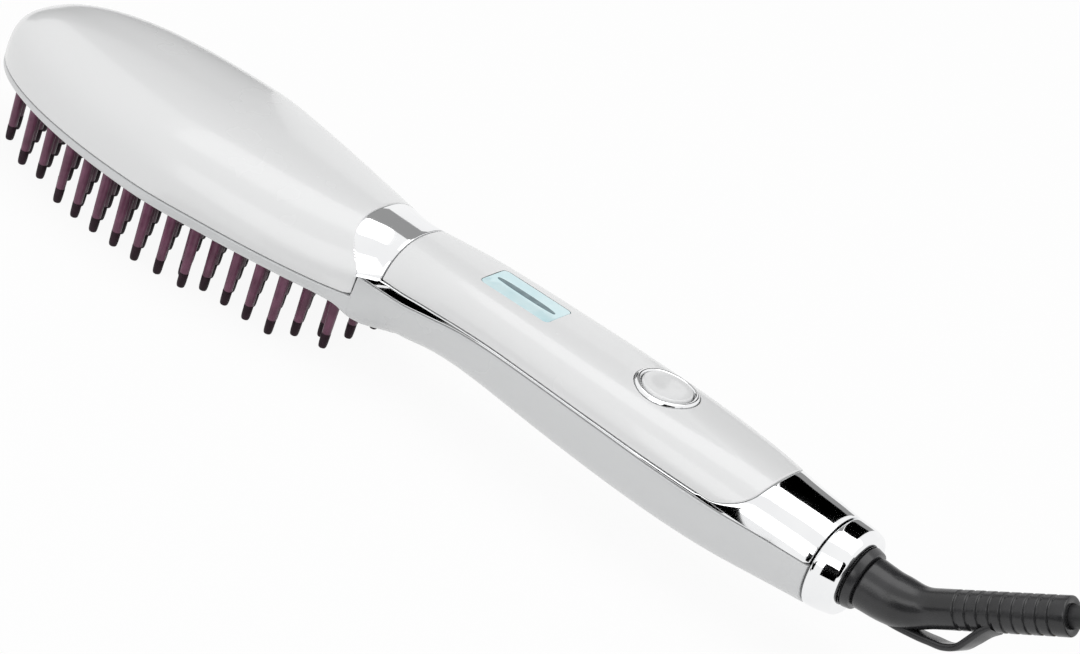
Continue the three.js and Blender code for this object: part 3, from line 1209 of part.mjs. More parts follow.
function leadCurve() {
  const exit = reliefEnd.point.clone().addScaledVector(reliefEnd.along, SEAT_GAP);
  const meet = coilStart.clone().addScaledVector(coilStartDirection, -SEAT_GAP);
  return new THREE.CubicBezierCurve3(
    exit,
    exit.clone().addScaledVector(reliefEnd.along, LEAD_EXIT_PULL),
    meet.clone().addScaledVector(coilStartDirection, -LEAD_MEET_PULL),
    meet,
  );
}

const lead = leadCurve();
addPart('cord_lead', bareGeometry(tube(lead, CORD_RADIUS, CORD_SIDES, LEAD_STEPS)), 'black');
addPart('cord_coil', makeCoil(), 'black');

function makeTie() {
  const inner = COIL_MID_RADIUS - (TURN_PITCH * TURNS_PER_LAYER) / 2 - CORD_RADIUS - TIE_GAP - 0.3;
  const outer = COIL_MID_RADIUS + (TURN_PITCH * TURNS_PER_LAYER) / 2 + CORD_RADIUS + TIE_GAP;
  const height = COIL_Z + TURN_PITCH * (COIL_LAYERS - 1) + CORD_RADIUS + TIE_GAP;
  const x = COIL_CENTRE_X;
  const y = COIL_CENTRE_Y;
  const [x0, x1] = [x + inner - TIE_THICK, x + outer + TIE_THICK];
  const band = toSolid(box(x0, x1, y - TIE_WIDTH / 2, y + TIE_WIDTH / 2, 0, height + TIE_THICK));
  return band.subtract(toSolid(box(x + inner, x + outer, y - TIE_WIDTH, y + TIE_WIDTH, TIE_THICK, height)));
}

addPart('cord_tie', toGeometry(makeTie()), 'black');

const plugEntry = coilFinish.clone().addScaledVector(coilFinishDirection, CORD_END_LENGTH + 2 * SEAT_GAP);
plugEntry.z = PLUG_HEIGHT / 2;
const endStart = coilFinish.clone().addScaledVector(coilFinishDirection, SEAT_GAP);
const endFinish = plugEntry.clone().addScaledVector(coilFinishDirection, -SEAT_GAP);
const endCurve = new THREE.CatmullRomCurve3([
  endStart,
  endStart.clone().addScaledVector(coilFinishDirection, CORD_RADIUS),
  endFinish.clone().addScaledVector(coilFinishDirection, -CORD_RADIUS),
  endFinish,
]);
addPart('cord_end', bareGeometry(tube(endCurve, CORD_RADIUS, CORD_SIDES, 4)), 'black');

// The plug, drawn along +X from its cord entry, then turned onto the cord's line
function makePlugBody() {
  const full = [PLUG_WIDTH / 2, PLUG_HEIGHT / 2];
  const sections = [...PLUG_NECK, [PLUG_GRIP_X, ...full], [PLUG_LENGTH - PLUG_EDGE, ...full],
    [PLUG_LENGTH, ...full.map((size) => size - PLUG_EDGE)]];
  const rings = sections.map(([x, half, height]) => {
    const power = x < PLUG_GRIP_X / 2 ? 2 : PLUG_POWER;
    const section = { x, half, seat: 0, top: height, bottom: height, topPower: power, bottomPower: power };
    return sectionRing(section, 20);
  });
  return loft(rings, centreOf(rings[0]), centreOf(rings[rings.length - 1]));
}

const plug = new THREE.Group();
plug.position.copy(plugEntry);
plug.rotation.z = Math.atan2(coilFinishDirection.y, coilFinishDirection.x);
const bladeX = PLUG_LENGTH + SEAT_GAP;
const blades = [-BLADE_SPACING / 2, BLADE_SPACING / 2].map((y) => box(
  bladeX,
  bladeX + BLADE_LENGTH,
  y - BLADE_THICK / 2,
  y + BLADE_THICK / 2,
  -BLADE_WIDTH / 2,
  BLADE_WIDTH / 2,
));
plug.add(addPart('plug_body', makePlugBody(), 'black'));
addEach('plug_blade', blades, 'brass').forEach((blade) => plug.add(blade));
brush.add(plug);

// The origin goes under the middle of brush and strain relief, level with the pin tips
const endLow = reliefEnd.point.x + RELIEF_END_RADIUS * reliefEnd.along.z;
brush.position.set(-(HEAD_WIDEST_X - HEAD_REACH + endLow) / 2, 0, 0);

const scene = new THREE.Group();
scene.add(brush);

export default scene;
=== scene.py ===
"""Hair straightening brush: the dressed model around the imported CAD, in metres."""

import math

import bmesh
import bpy
import numpy as np
from mathutils import Matrix, Vector


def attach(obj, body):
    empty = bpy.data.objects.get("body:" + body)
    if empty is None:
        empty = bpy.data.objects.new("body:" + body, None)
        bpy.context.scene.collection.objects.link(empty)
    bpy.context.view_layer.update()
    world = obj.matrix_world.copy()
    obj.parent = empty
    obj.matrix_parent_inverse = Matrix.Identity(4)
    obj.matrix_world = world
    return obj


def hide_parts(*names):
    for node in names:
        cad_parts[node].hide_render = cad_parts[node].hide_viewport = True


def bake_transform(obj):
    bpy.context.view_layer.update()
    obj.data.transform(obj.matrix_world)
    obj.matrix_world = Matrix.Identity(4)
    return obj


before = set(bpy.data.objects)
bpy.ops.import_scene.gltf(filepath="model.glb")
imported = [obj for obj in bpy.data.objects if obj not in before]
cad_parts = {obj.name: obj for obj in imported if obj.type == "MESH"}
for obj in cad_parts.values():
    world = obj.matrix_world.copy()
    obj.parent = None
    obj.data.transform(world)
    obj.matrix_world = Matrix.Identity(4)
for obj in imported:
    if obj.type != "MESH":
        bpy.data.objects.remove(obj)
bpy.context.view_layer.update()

MM = 0.001
# Sizes below are millimetres, x from the head's tip end; the object's origin lies this far along x
ORIGIN_X = 171.5090209734004

# ---- Camera, at the photograph's angle

CAMERA_PLACE = (358.94, -672.63, 426.49)
CAMERA_RIGHT = (0.764, 0.57, 0.303)
CAMERA_BACK = (0.408, -0.791, 0.459)
CAMERA_LENS = 108.3
CAMERA_CLIP = (0.01, 50)
SENSOR_WIDTH = 36


def link(name, data):
    """A new object in the scene."""
    obj = bpy.data.objects.new(name, data)
    bpy.context.scene.collection.objects.link(obj)
    return obj


def make_camera():
    right = Vector(CAMERA_RIGHT).normalized()
    back = Vector(CAMERA_BACK)
    back = (back - back.dot(right) * right).normalized()
    data = bpy.data.cameras.new("camera")
    data.lens, data.sensor_width, data.sensor_fit = CAMERA_LENS, SENSOR_WIDTH, "HORIZONTAL"
    data.clip_start, data.clip_end = CAMERA_CLIP
    camera = link("camera", data)
    axes = Matrix((right, back.cross(right), back)).transposed().to_4x4()
    axes.translation = Vector(CAMERA_PLACE) * MM
    camera.matrix_world = axes
    bpy.context.scene.camera = camera


make_camera()

# ---- Sizes of the outer form: the CAD's, with neck and handle deeper and the crown flatter, as in the photograph

SEAM = 0.3
HEAD_WIDTH = 64.6
HEAD_WIDEST_X = 68
HEAD_REACH = 73
HEAD_PLAN_POWER = 2.2
CROWN_HEIGHT = 21
CROWN_POWER = 3.3
RIM_HEIGHT = 3
RIM_DEEP_HEIGHT = 4.2
RIM_WALL = 1.6
SHELL_WALL = 2
FLANGE_DEPTH = 4.6
FLANGE_THICK = 1.05
NECK_X = 146
NECK_WIDTH = 30.6
NECK_RISE = 6.2
BELLY_X = 226
BELLY_WIDTH = 34.6
BELLY_RISE = 5
TAIL_X = 283
TAIL_WIDTH = 26.6
TAIL_RISE = 3.9
END_RING_LENGTH = 8.2
END_RING_BORE = 8.3
PIN_STAND = 19.5
PARTING_Z = PIN_STAND + RIM_HEIGHT
AXIS_Z = PARTING_Z + TAIL_RISE
HEAD_HALF = HEAD_WIDTH / 2
NECK_HALF = NECK_WIDTH / 2
NECK_FRONT_X = NECK_X - 12
BED_THICK = 1.4
BED_REAR_X = 136
BED_ROUND_X = 106
BED_BOTTOM_Z = PARTING_Z - SEAM / 2 - FLANGE_THICK - SEAM - BED_THICK

# Each line holds places and values. The back cover's rear edge: height over the parting plane, and x
COVER_REAR_LINE = [[-2, 136], [4, 136], [7, 135.6], [10, 134], [14.5, 129.8], [18, 127.2], [20, 127], [40, 127]]
HEAD_REAR_X = COVER_REAR_LINE[0][1] + SEAM
COLLAR_REAR_X = 142.4
PANEL_REAR_X = 264
PANEL_CORNER = 11
PANEL_CORNER_X = PANEL_REAR_X - PANEL_CORNER
PANEL_FAN_X = PANEL_CORNER_X - 4
# The upper edge of the base at the handle: x, and height over the parting plane
TRIM_LINE = [[136, 6.1], [143, 5.0], [150, 4.7], [158, 5.8], [170, 7.6], [184, 8.1], [216, 7.5], [236, 6.8],
             [250, 6.3], [262, 6.1], [283, 5.9]]
TRIM_FRONT_WIDTH = 3.2
TRIM_SIDE_WIDTH = 1.5
TRIM_WIDTH_LINE = [[COLLAR_REAR_X, TRIM_FRONT_WIDTH], [COLLAR_REAR_X + 10, TRIM_FRONT_WIDTH],
                   [COLLAR_REAR_X + 30, TRIM_SIDE_WIDTH], [PANEL_CORNER_X, TRIM_SIDE_WIDTH]]
PANEL_REAR_RISE = [[PANEL_CORNER_X - 8, -0.2], [PANEL_CORNER_X, 0], [PANEL_CORNER_X + 0.5 * PANEL_CORNER, 2.2],
                   [PANEL_CORNER_X + 0.85 * PANEL_CORNER, 5.5], [PANEL_REAR_X, 9.5], [PANEL_REAR_X + 2, 16]]

# The outer form at x: half width, height of its widest place, of its top and its bottom, and their roundness
neck_span = NECK_X - HEAD_WIDEST_X
HEAD_TAPER = [[-0.31, 0.835], [0, 1], [0.31, 0.835], [0.56, 0.62], [0.76, 0.37], [0.9, 0.11], [1, 0]]
WIDTH_LINE = [[HEAD_WIDEST_X + a * neck_span, NECK_HALF + b * (HEAD_HALF - NECK_HALF)] for a, b in HEAD_TAPER] + [
    [NECK_X + 14, NECK_HALF], [BELLY_X, BELLY_WIDTH / 2], [TAIL_X - 29, BELLY_WIDTH / 2 - 1],
    [TAIL_X - 13, TAIL_WIDTH / 2 + 1.1], [TAIL_X, TAIL_WIDTH / 2],
    [TAIL_X + 4, TAIL_WIDTH / 2 - 0.3], [TAIL_X + END_RING_LENGTH, TAIL_WIDTH / 2 - 1.2]]
SEAT_LINE = [[NECK_FRONT_X, 0], [NECK_X - 5, 2.6], [NECK_X + 2, NECK_RISE - 0.8], [NECK_X + 14, NECK_RISE + 0.7],
             [BELLY_X - 36, BELLY_RISE + 1.5], [BELLY_X, BELLY_RISE], [TAIL_X - 29, TAIL_RISE + 0.4],
             [TAIL_X, TAIL_RISE]]
TOP_LINE = [[HEAD_WIDEST_X - 20, 20.3], [HEAD_WIDEST_X, CROWN_HEIGHT], [HEAD_WIDEST_X + 20, 20.5],
            [NECK_X - 30, 19.2], [NECK_FRONT_X, 18.8], [NECK_X + 14, 19.3], [BELLY_X - 18, 19.3],
            [BELLY_X, 19.15], [TAIL_X - 31, 18.6], [TAIL_X - 15, 17.1], [TAIL_X - 4, 16.35], [TAIL_X, 15.85],
            [TAIL_X + 2, 15.8], [TAIL_X + 6, 15.6], [TAIL_X + END_RING_LENGTH, 15]]
BOTTOM_LINE = [[HEAD_WIDEST_X - 48, -RIM_HEIGHT], [HEAD_WIDEST_X, -RIM_DEEP_HEIGHT],
               [NECK_X - 28, -RIM_DEEP_HEIGHT], [NECK_X - 14, -RIM_DEEP_HEIGHT - 1], [NECK_X - 8, -9.2],
               [NECK_X - 3, -10.6], [NECK_X + 4, -9.6], [NECK_X + 14, -8], [NECK_X + 26, -7.8],
               [BELLY_X - 26, -10.1], [BELLY_X, -11.5], [TAIL_X - 31, -11.6], [TAIL_X, -9.1],
               [TAIL_X + 4, -8.7], [TAIL_X + END_RING_LENGTH, -7.7]]
TOP_POWER_LINE = [[HEAD_WIDEST_X, 2.8], [NECK_FRONT_X, 2.15], [NECK_X + 4, 2.65], [NECK_X + 14, 2.95],
                  [NECK_X + 30, 3.1], [BELLY_X, 2.9], [TAIL_X - 31, 2.45], [TAIL_X, 2.1]]
BOTTOM_POWER_LINE = [[NECK_FRONT_X, 7], [NECK_X - 4, 2.6], [NECK_X + 6, 2.15], [TAIL_X, 2.1]]


def through(line, x):
    """The smooth value at x of a curve through [x, value] points."""
    p = np.asarray(line, float)
    x = np.asarray(x, float)
    n = len(p)
    before = np.maximum(np.arange(n) - 1, 0)
    after = np.minimum(np.arange(n) + 1, n - 1)
    slope = (p[after, 1] - p[before, 1]) / (p[after, 0] - p[before, 0])
    i = np.clip(np.searchsorted(p[:, 0], x) - 1, 0, n - 2)
    h = p[i + 1, 0] - p[i, 0]
    t = np.clip((x - p[i, 0]) / h, 0, 1)
    return ((2 * t**3 - 3 * t**2 + 1) * p[i, 1] + (t**3 - 2 * t**2 + t) * h * slope[i]
            + (3 * t**2 - 2 * t**3) * p[i + 1, 1] + (t**3 - t**2) * h * slope[i + 1])


def head_front(x, reach, power):
    """Share of the head's full width or height at x, ahead of its widest place."""
    share = np.clip((HEAD_WIDEST_X - x) / reach, 0, 1)
    return (1 - share**power) ** (1 / power)


def plan_half(x, inset=0.0):
    front = (HEAD_HALF - inset) * head_front(x, HEAD_REACH - inset, HEAD_PLAN_POWER)
    return np.where(x < HEAD_WIDEST_X, front, through(WIDTH_LINE, x) - inset)


def top_height(x):
    return np.where(x < HEAD_WIDEST_X, CROWN_HEIGHT * head_front(x, HEAD_REACH, CROWN_POWER), through(TOP_LINE, x))


def round_form(angles, power):
    """Cosine and sine of bearings, and what a superellipse divides them by."""
    c, s = np.cos(angles), np.sin(angles)
    return c, s, (np.abs(c) ** power + np.abs(s) ** power) ** (1 / power)


def section(x, angle):
    """Points of the outer form at x and at a bearing in the section: 90 degrees is its top, -90 its underside."""
    x, angle = np.broadcast_arrays(np.asarray(x, float), np.asarray(angle, float))
    seat = through(SEAT_LINE, x)
    above = np.sin(angle) >= 0
    power = np.where(above, through(TOP_POWER_LINE, x), through(BOTTOM_POWER_LINE, x))
    height = np.where(above, top_height(x) - seat, seat - through(BOTTOM_LINE, x))
    c, s, reach = round_form(angle, power)
    return np.stack([x, plan_half(x) * c / reach, PARTING_Z + seat + height * s / reach], -1)


def roof(x, y, underside=False):
    """Height of the outer form's back, or of its underside, over the point x, y."""
    seat = through(SEAT_LINE, x)
    power = through(BOTTOM_POWER_LINE if underside else TOP_POWER_LINE, x)
    edge = through(BOTTOM_LINE, x) if underside else top_height(x)
    share = np.clip(np.abs(y) / np.maximum(plan_half(x), 1e-9), 0, 1)
    return PARTING_Z + seat + (edge - seat) * (1 - share**power) ** (1 / power)


# ---- Meshes

WELD_DISTANCE = 2e-6
# Edges sharper than these angles, in degrees, stay sharp in the shading
SHARP, SHARP_BASE, SHARP_TRIM, SHARP_TUBE, SHARP_CORD = 35, 38, 40, 50, 60
MIRRORED = [1, -1, 1]


def to_row(points):
    """Points in millimetres from the head's end as metres from the object's origin."""
    return (np.asarray(points, float) - [ORIGIN_X, 0, 0]) * MM


def new_mesh(name, points, faces):
    data = bpy.data.meshes.new(name)
    data.from_pydata(to_row(points).tolist(), [], faces)
    return data


def solid(name, shape, weld=False):
    """A closed mesh from points in millimetres and faces, which are turned outwards."""
    data = new_mesh(name, *shape)
    work = bmesh.new()
    work.from_mesh(data)
    if weld:
        bmesh.ops.remove_doubles(work, verts=work.verts, dist=WELD_DISTANCE)
        bmesh.ops.dissolve_degenerate(work, edges=work.edges, dist=WELD_DISTANCE / 20)
    bmesh.ops.recalc_face_normals(work, faces=work.faces)
    work.to_mesh(data)
    work.free()
    return data


def smooth(data, sharp=SHARP):
    data.shade_smooth()
    data.set_sharp_from_angle(angle=math.radians(sharp))


def add_mesh(name, shape, material, nodes, body="root", sharp=SHARP, weld=True):
    """A smooth piece that rides on a body and replaces nodes of the CAD."""
    data = solid(name, shape, weld)
    smooth(data, sharp)
    data.materials.append(material)
    obj = link(name, data)
    if body:
        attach(obj, body)
    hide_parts(*nodes)
    return obj


def grid_faces(columns, rows, wrap_columns=False, wrap_rows=False, first=0):
    faces = []
    for c in range(columns if wrap_columns else columns - 1):
        d = (c + 1) % columns
        for r in range(rows if wrap_rows else rows - 1):
            q = (r + 1) % rows
            faces.append((first + c * rows + r, first + d * rows + r, first + d * rows + q, first + c * rows + q))
    return faces


def resample(curve, places):
    """Points of a fine polyline at the given distances along it."""
    steps = np.linalg.norm(np.diff(curve, axis=0), axis=1)
    along = np.concatenate([[0], np.cumsum(steps)])
    return np.stack([np.interp(places, along, curve[:, k]) for k in range(3)], -1)


def length_of(curve):
    return float(np.linalg.norm(np.diff(curve, axis=0), axis=1).sum())


LIP_STEPS = 4


def lip(radius):
    """Distances from an edge, and depths under the surface, of a rounded edge, from the edge inwards."""
    angles = np.radians(np.linspace(90, 0, LIP_STEPS + 1))
    return radius * (1 - np.sin(angles)), radius * (1 - np.cos(angles))


def spread(count, ease=1.0):
    """Shares from 0 to 1, both left out; ease over 1 sets them closer to the start."""
    return np.linspace(0, 1, count + 2)[1:-1] ** ease


def trimmed(curve, start_z, downwards=False):
    """The part of a curve from where it passes the height start_z."""
    z, level = (-curve[:, 2], -start_z) if downwards else (curve[:, 2], start_z)
    k = int(np.argmax(z >= level))
    if k == 0:
        return curve
    share = (level - z[k - 1]) / (z[k] - z[k - 1])
    return np.vstack([curve[k - 1] + share * (curve[k] - curve[k - 1]), curve[k:]])


def grid_normals(grid, wrap=False):
    """Outward unit normals of a grid of surface points, from its neighbours."""
    across = np.roll(grid, -1, 0) - np.roll(grid, 1, 0) if wrap else np.gradient(grid, axis=0)
    normal = np.cross(across, np.gradient(grid, axis=1))
    size = np.linalg.norm(normal, axis=2, keepdims=True)
    bad = size[..., 0] <= 1e-7
    normal = normal / np.maximum(size, 1e-12)
    for r in range(grid.shape[1] - 1, -1, -1):
        normal[bad[:, r], r] = normal[bad[:, r], r - 1 if r > 0 else r + 1]
    outward = np.sum((grid * [0, 1, 1] - [0, 0, PARTING_Z + 2]) * normal)
    return normal * np.sign(outward)


def shell_mesh(grid, row_depth, column_depth, wrap=False):
    """Vertices and faces of a wall with rounded edges under a grid of surface points.

    A wrapped grid is closed at its first and last row, any other at its first row and its end columns."""
    columns, rows = grid.shape[:2]
    normal = grid_normals(grid, wrap)
    depth = np.asarray(row_depth)[None, :] + np.asarray(column_depth)[:, None]
    points = np.concatenate([(grid - normal * depth[..., None]).reshape(-1, 3),
                             (grid - normal * SHELL_WALL).reshape(-1, 3)])
    under = columns * rows
    faces = grid_faces(columns, rows, wrap_columns=wrap)
    faces += [tuple(reversed(f)) for f in grid_faces(columns, rows, wrap_columns=wrap, first=under)]
    edges = [(c * rows + r, (c + 1) % columns * rows + r) for r in ((0, rows - 1) if wrap else (0,))
             for c in range(columns if wrap else columns - 1)]
    if not wrap:
        edges += [(c * rows + r, c * rows + r + 1) for c in (0, columns - 1) for r in range(rows - 1)]
    return points, faces + [(a, b, under + b, under + a) for a, b in edges]


def bearings(count):
    """Evenly spread angles all round."""
    return 2 * np.pi * np.arange(count) / count


def ring(centre, side, up, radius, sides):
    """Points of a circle round the centre in the plane of two directions."""
    angles = bearings(sides)
    return centre + radius * (np.outer(np.cos(angles), side) + np.outer(np.sin(angles), up))


def capped_tube(rings):
    """Vertices and faces of a closed skin through rings of points."""
    rings = np.array(rings)
    count, sides = rings.shape[:2]
    faces = grid_faces(count, sides, wrap_rows=True)
    faces += [tuple(range(sides)), tuple((count - 1) * sides + i for i in range(sides))]
    return rings.reshape(-1, 3), faces


def wrapped(rings):
    """Vertices and faces of a skin through rings of points, whose last joins the first."""
    rings = np.array(rings)
    return rings.reshape(-1, 3), grid_faces(*rings.shape[:2], wrap_columns=True, wrap_rows=True)


def prism(outline, z0, z1):
    """Vertices and faces of a closed upright solid over an outline of x, y points."""
    return capped_tube([[(x, y, z) for x, y in outline] for z in (z0, z1)])


def cut(obj, shapes):
    """obj with solids taken out of it."""
    cutters = [link("cutter", solid("cutter", shape)) for shape in shapes]
    for cutter in cutters:
        modifier = obj.modifiers.new("cut", "BOOLEAN")
        modifier.operation = "DIFFERENCE"
        modifier.solver = "EXACT"
        modifier.object = cutter
    bpy.context.view_layer.update()
    graph = bpy.context.evaluated_depsgraph_get()
    made = bpy.data.meshes.new_from_object(obj.evaluated_get(graph))
    obj.modifiers.clear()
    obj.data = made
    smooth(made)
    for cutter in cutters:
        bpy.data.objects.remove(cutter)


def circle(x, y, radius, count=48):
    return [(x + radius * math.cos(a), y + radius * math.sin(a)) for a in bearings(count)]


def rounded_rectangle(x, half_length, half_width, corner, steps=6):
    outline = []
    for sx, sy, start in ((1, 1, 0), (-1, 1, 90), (-1, -1, 180), (1, -1, 270)):
        for k in range(steps + 1):
            a = math.radians(start + 90 * k / steps)
            outline.append((x + sx * (half_length - corner) + corner * math.cos(a),
                            sy * (half_width - corner) + corner * math.sin(a)))
    return outline


# ---- Materials

DRIFT_PLACES = (0.35, 0.65)
ROUGH_PLACES = (0.3, 0.7)
ROUGH_SCALE = 2.3


def add_node(tree, kind, inputs=None, operation=None):
    """A new shader node, with each of its inputs set to a value or linked to a socket or a node's first output."""
    node = tree.nodes.new(kind)
    if operation:
        node.operation = operation
    for key, value in (inputs or {}).items():
        if isinstance(value, bpy.types.Node):
            value = value.outputs[0]
        if isinstance(value, bpy.types.NodeSocket):
            tree.links.new(value, node.inputs[key])
        else:
            node.inputs[key].default_value = value
    return node


def empty_tree(owner):
    owner.use_nodes = True
    owner.node_tree.nodes.clear()
    return owner.node_tree


def noise(tree, scale, detail, stretch=None):
    source = add_node(tree, "ShaderNodeTexCoord").outputs["Object"]
    if stretch:
        source = add_node(tree, "ShaderNodeMapping", {"Scale": stretch, "Vector": source})
    return add_node(tree, "ShaderNodeTexNoise", {"Scale": scale, "Detail": detail, "Vector": source})


def surface(name, dark, light, rough, scale=60, metallic=0.0, coat=0.0, coat_rough=0.05, grain=900, relief=0.05,
            relief_depth=2e-5, stretch=None, specular=0.5):
    """A material whose colour and roughness drift between two values, with a fine moulded or drawn grain."""
    material = bpy.data.materials.new(name)
    tree = empty_tree(material)
    colour = add_node(tree, "ShaderNodeValToRGB", {0: noise(tree, scale, 3)})
    for element, place, value in zip(colour.color_ramp.elements, DRIFT_PLACES, (dark, light)):
        element.position = place
        element.color = (*value, 1)
    roughness = add_node(tree, "ShaderNodeMapRange", {
        "Value": noise(tree, scale * ROUGH_SCALE, 4, stretch), "From Min": ROUGH_PLACES[0],
        "From Max": ROUGH_PLACES[1], "To Min": rough[0], "To Max": rough[1]})
    bump = add_node(tree, "ShaderNodeBump", {
        "Strength": relief, "Distance": relief_depth, "Height": noise(tree, grain, 2, stretch)})
    shader = add_node(tree, "ShaderNodeBsdfPrincipled", {
        "Base Color": colour, "Roughness": roughness, "Metallic": metallic, "Coat Weight": coat,
        "Coat Roughness": coat_rough, "Specular IOR Level": specular, "Normal": bump})
    add_node(tree, "ShaderNodeOutputMaterial", {0: shader})
    return material


WHITE = surface("white_gloss", (0.785, 0.79, 0.793), (0.797, 0.8, 0.803), (0.2, 0.3), scale=12, coat=0.35,
                coat_rough=0.06, grain=1400, relief=0.04)
# Painted shade: the base shell's white is the back cover's glossy white made darker, for the shade that its low,
# downward-facing sides lie in
SHADED_WHITE = surface("white_gloss_painted_shade", (0.645, 0.655, 0.66), (0.66, 0.667, 0.672), (0.24, 0.34), scale=14, coat=0.25,
               coat_rough=0.1, grain=1400, relief=0.05)
CHROME = surface("chrome", (0.86, 0.865, 0.875), (0.9, 0.905, 0.91), (0.035, 0.08), scale=80, metallic=1,
                 grain=500, relief=0.02, relief_depth=1e-5)
PLUM = surface("plum_coating", (0.09, 0.017, 0.048), (0.155, 0.042, 0.092), (0.32, 0.48), scale=220, coat=0.15,
               coat_rough=0.25, grain=2600, relief=0.12)
TIP = surface("pin_tip_black", (0.014, 0.005, 0.009), (0.026, 0.01, 0.018), (0.45, 0.6), scale=400, grain=3000,
              relief=0.1, specular=0.2)
BLACK = surface("black_plastic", (0.012, 0.012, 0.013), (0.022, 0.022, 0.024), (0.32, 0.46), scale=150,
                grain=1600, relief=0.12)
RUBBER = surface("relief_rubber", (0.014, 0.014, 0.015), (0.026, 0.026, 0.028), (0.22, 0.3), scale=110,
                 grain=1500, relief=0.22, relief_depth=4e-5)
CORD = surface("cord_sheath", (0.012, 0.012, 0.013), (0.024, 0.024, 0.026), (0.36, 0.5), scale=140, grain=1200,
               relief=0.16, relief_depth=3e-5)
STEEL = surface("steel", (0.42, 0.425, 0.43), (0.52, 0.525, 0.53), (0.22, 0.38), scale=300, metallic=1,
                grain=1800, relief=0.1, stretch=(1, 1, 6))
ALUMINIUM = surface("rolled_aluminium", (0.55, 0.56, 0.57), (0.66, 0.67, 0.68), (0.26, 0.4), scale=90, metallic=1,
                    grain=900, relief=0.1, stretch=(0.1, 1, 1))
BRASS = surface("contact_brass", (0.6, 0.44, 0.16), (0.74, 0.56, 0.23), (0.2, 0.34), scale=300, metallic=1,
                grain=1600, relief=0.06)
CERAMIC = surface("ceramic", (0.7, 0.67, 0.6), (0.8, 0.78, 0.72), (0.5, 0.66), scale=350, grain=2600, relief=0.2)
LENS = surface("display_lens", (0.56, 0.8, 0.85), (0.7, 0.88, 0.91), (0.05, 0.09), scale=130, coat=0.6,
               coat_rough=0.03, grain=700, relief=0.01)
SEGMENT = surface("display_segment", (0.09, 0.16, 0.185), (0.15, 0.235, 0.26), (0.16, 0.24), scale=500, coat=0.4,
                  coat_rough=0.06, grain=900, relief=0.02)
SCREEN = surface("screen_glass", (0.25, 0.55, 0.62), (0.35, 0.68, 0.74), (0.08, 0.14), scale=160, coat=0.5,
                 grain=700, relief=0.02)
BOARD = surface("board_laminate", (0.01, 0.09, 0.045), (0.02, 0.16, 0.08), (0.34, 0.5), scale=500, coat=0.3,
                coat_rough=0.2, grain=2400, relief=0.15)
WIRE = surface("wire_sleeve", (0.3, 0.03, 0.025), (0.42, 0.05, 0.04), (0.4, 0.52), scale=300, grain=2200,
               relief=0.1)

# ---- Cord: out of the strain relief, into a tied coil, and to the plug

RELIEF_STRAIGHT = 4.3
RELIEF_BEND_RADIUS = 26
RELIEF_BEND = math.radians(31)
RELIEF_BASE_RADIUS = 7.2
RELIEF_END_RADIUS = 5.1
RELIEF_TAPER_END = 20
RELIEF_TAPER_LENGTH = 11.5
RIBS_START = 26.6
RIB_COUNT = 9
RIB_PITCH = 3.2
RIB_LENGTH = 1.9
GROOVE_DEPTH = 0.6
RELIEF_END_LENGTH = 1.7
LOOP_THICK = 1.9
LOOP_WIDTH = 5.8
# Place along the relief, distance from its centre line, and degrees from straight under it towards the near side
LOOP_LINE = [[9, 5.4, 8], [14, 6.4, 10], [19, 8, 12], [23, 9.1, 14], [27, 8.9, 16], [30.5, 7.2, 20], [34, 5.2, 26],
             [37, 4.1, 32]]
BARREL_FLANGE_LENGTH = 2.4
BARREL_FLANGE_RADIUS = 8.6
FLANGE_X = TAIL_X + SEAM + END_RING_LENGTH + SEAM
RELIEF_X = FLANGE_X + BARREL_FLANGE_LENGTH + SEAM
RELIEF_LENGTH = RIBS_START + RIB_COUNT * RIB_PITCH + RELIEF_END_LENGTH

CORD_DIAMETER = 6
TURN_PITCH = 6.6
COIL_LAYERS = 4
COIL_TURNS = 7.5
COIL_MID_RADIUS = 33
COIL_CENTRE = (440, 4)
COIL_START = math.radians(270)
TIE_THICK = 0.8
TIE_WIDTH = 9
TIE_GAP = 0.5
COIL_Z = TIE_THICK + TIE_GAP + CORD_DIAMETER / 2
TURNS_PER_LAYER = COIL_TURNS / COIL_LAYERS
LEAD_EXIT_PULL = 50
LEAD_MEET_PULL = 36
CORD_END_LENGTH = 20
CORD_SIDES = 14
TURN_STEPS = 48
CORD_IN_RELIEF = 1.5
PLUG_HEIGHT = 14
# Place along the plug, half its width, half its height, and the roundness of its section
PLUG_LINE = np.array([
    [0, 3.9, 3.9, 2], [0.6, 4.2, 4.2, 2], [4, 4.4, 4.3, 2.1], [8, 5.2, 4.9, 2.4], [12, 7.2, 5.9, 3],
    [15, 9.4, 6.6, 3.3], [18, 10.8, 6.9, 3.4], [22, 11, 7, 3.4], [28, 11, 7, 3.4], [29.2, 10.9, 6.9, 3.4],
    [29.8, 10.6, 6.6, 3.4], [30, 10.1, 6.1, 3.4]])
GRIP_START, GRIP_END = 17, 27.5
GRIP_PITCH = 2.1
GRIP_GROOVE = 0.7
GRIP_DEPTH = 0.35
GRIP_SIDE = 0.75
GRIP_BLEND = 0.1
BLADE_START = 30.3
BLADE_LENGTH = 17
BLADE_WIDTH = 6.3
BLADE_CORNER = 1.6
BLADE_SPACING = 12.7
BLADE_LAYERS = [(-0.75, 0.25), (-0.6, 0), (0.6, 0), (0.75, 0.25)]
TIE_CORNER = 2.6
TIE_SLACK = 0.3
TIE_PLACES = [(-0.5, 0.12), (-0.46, 0), (-0.4, 0), (0, 0), (0.4, 0), (0.46, 0), (0.5, 0.12)]


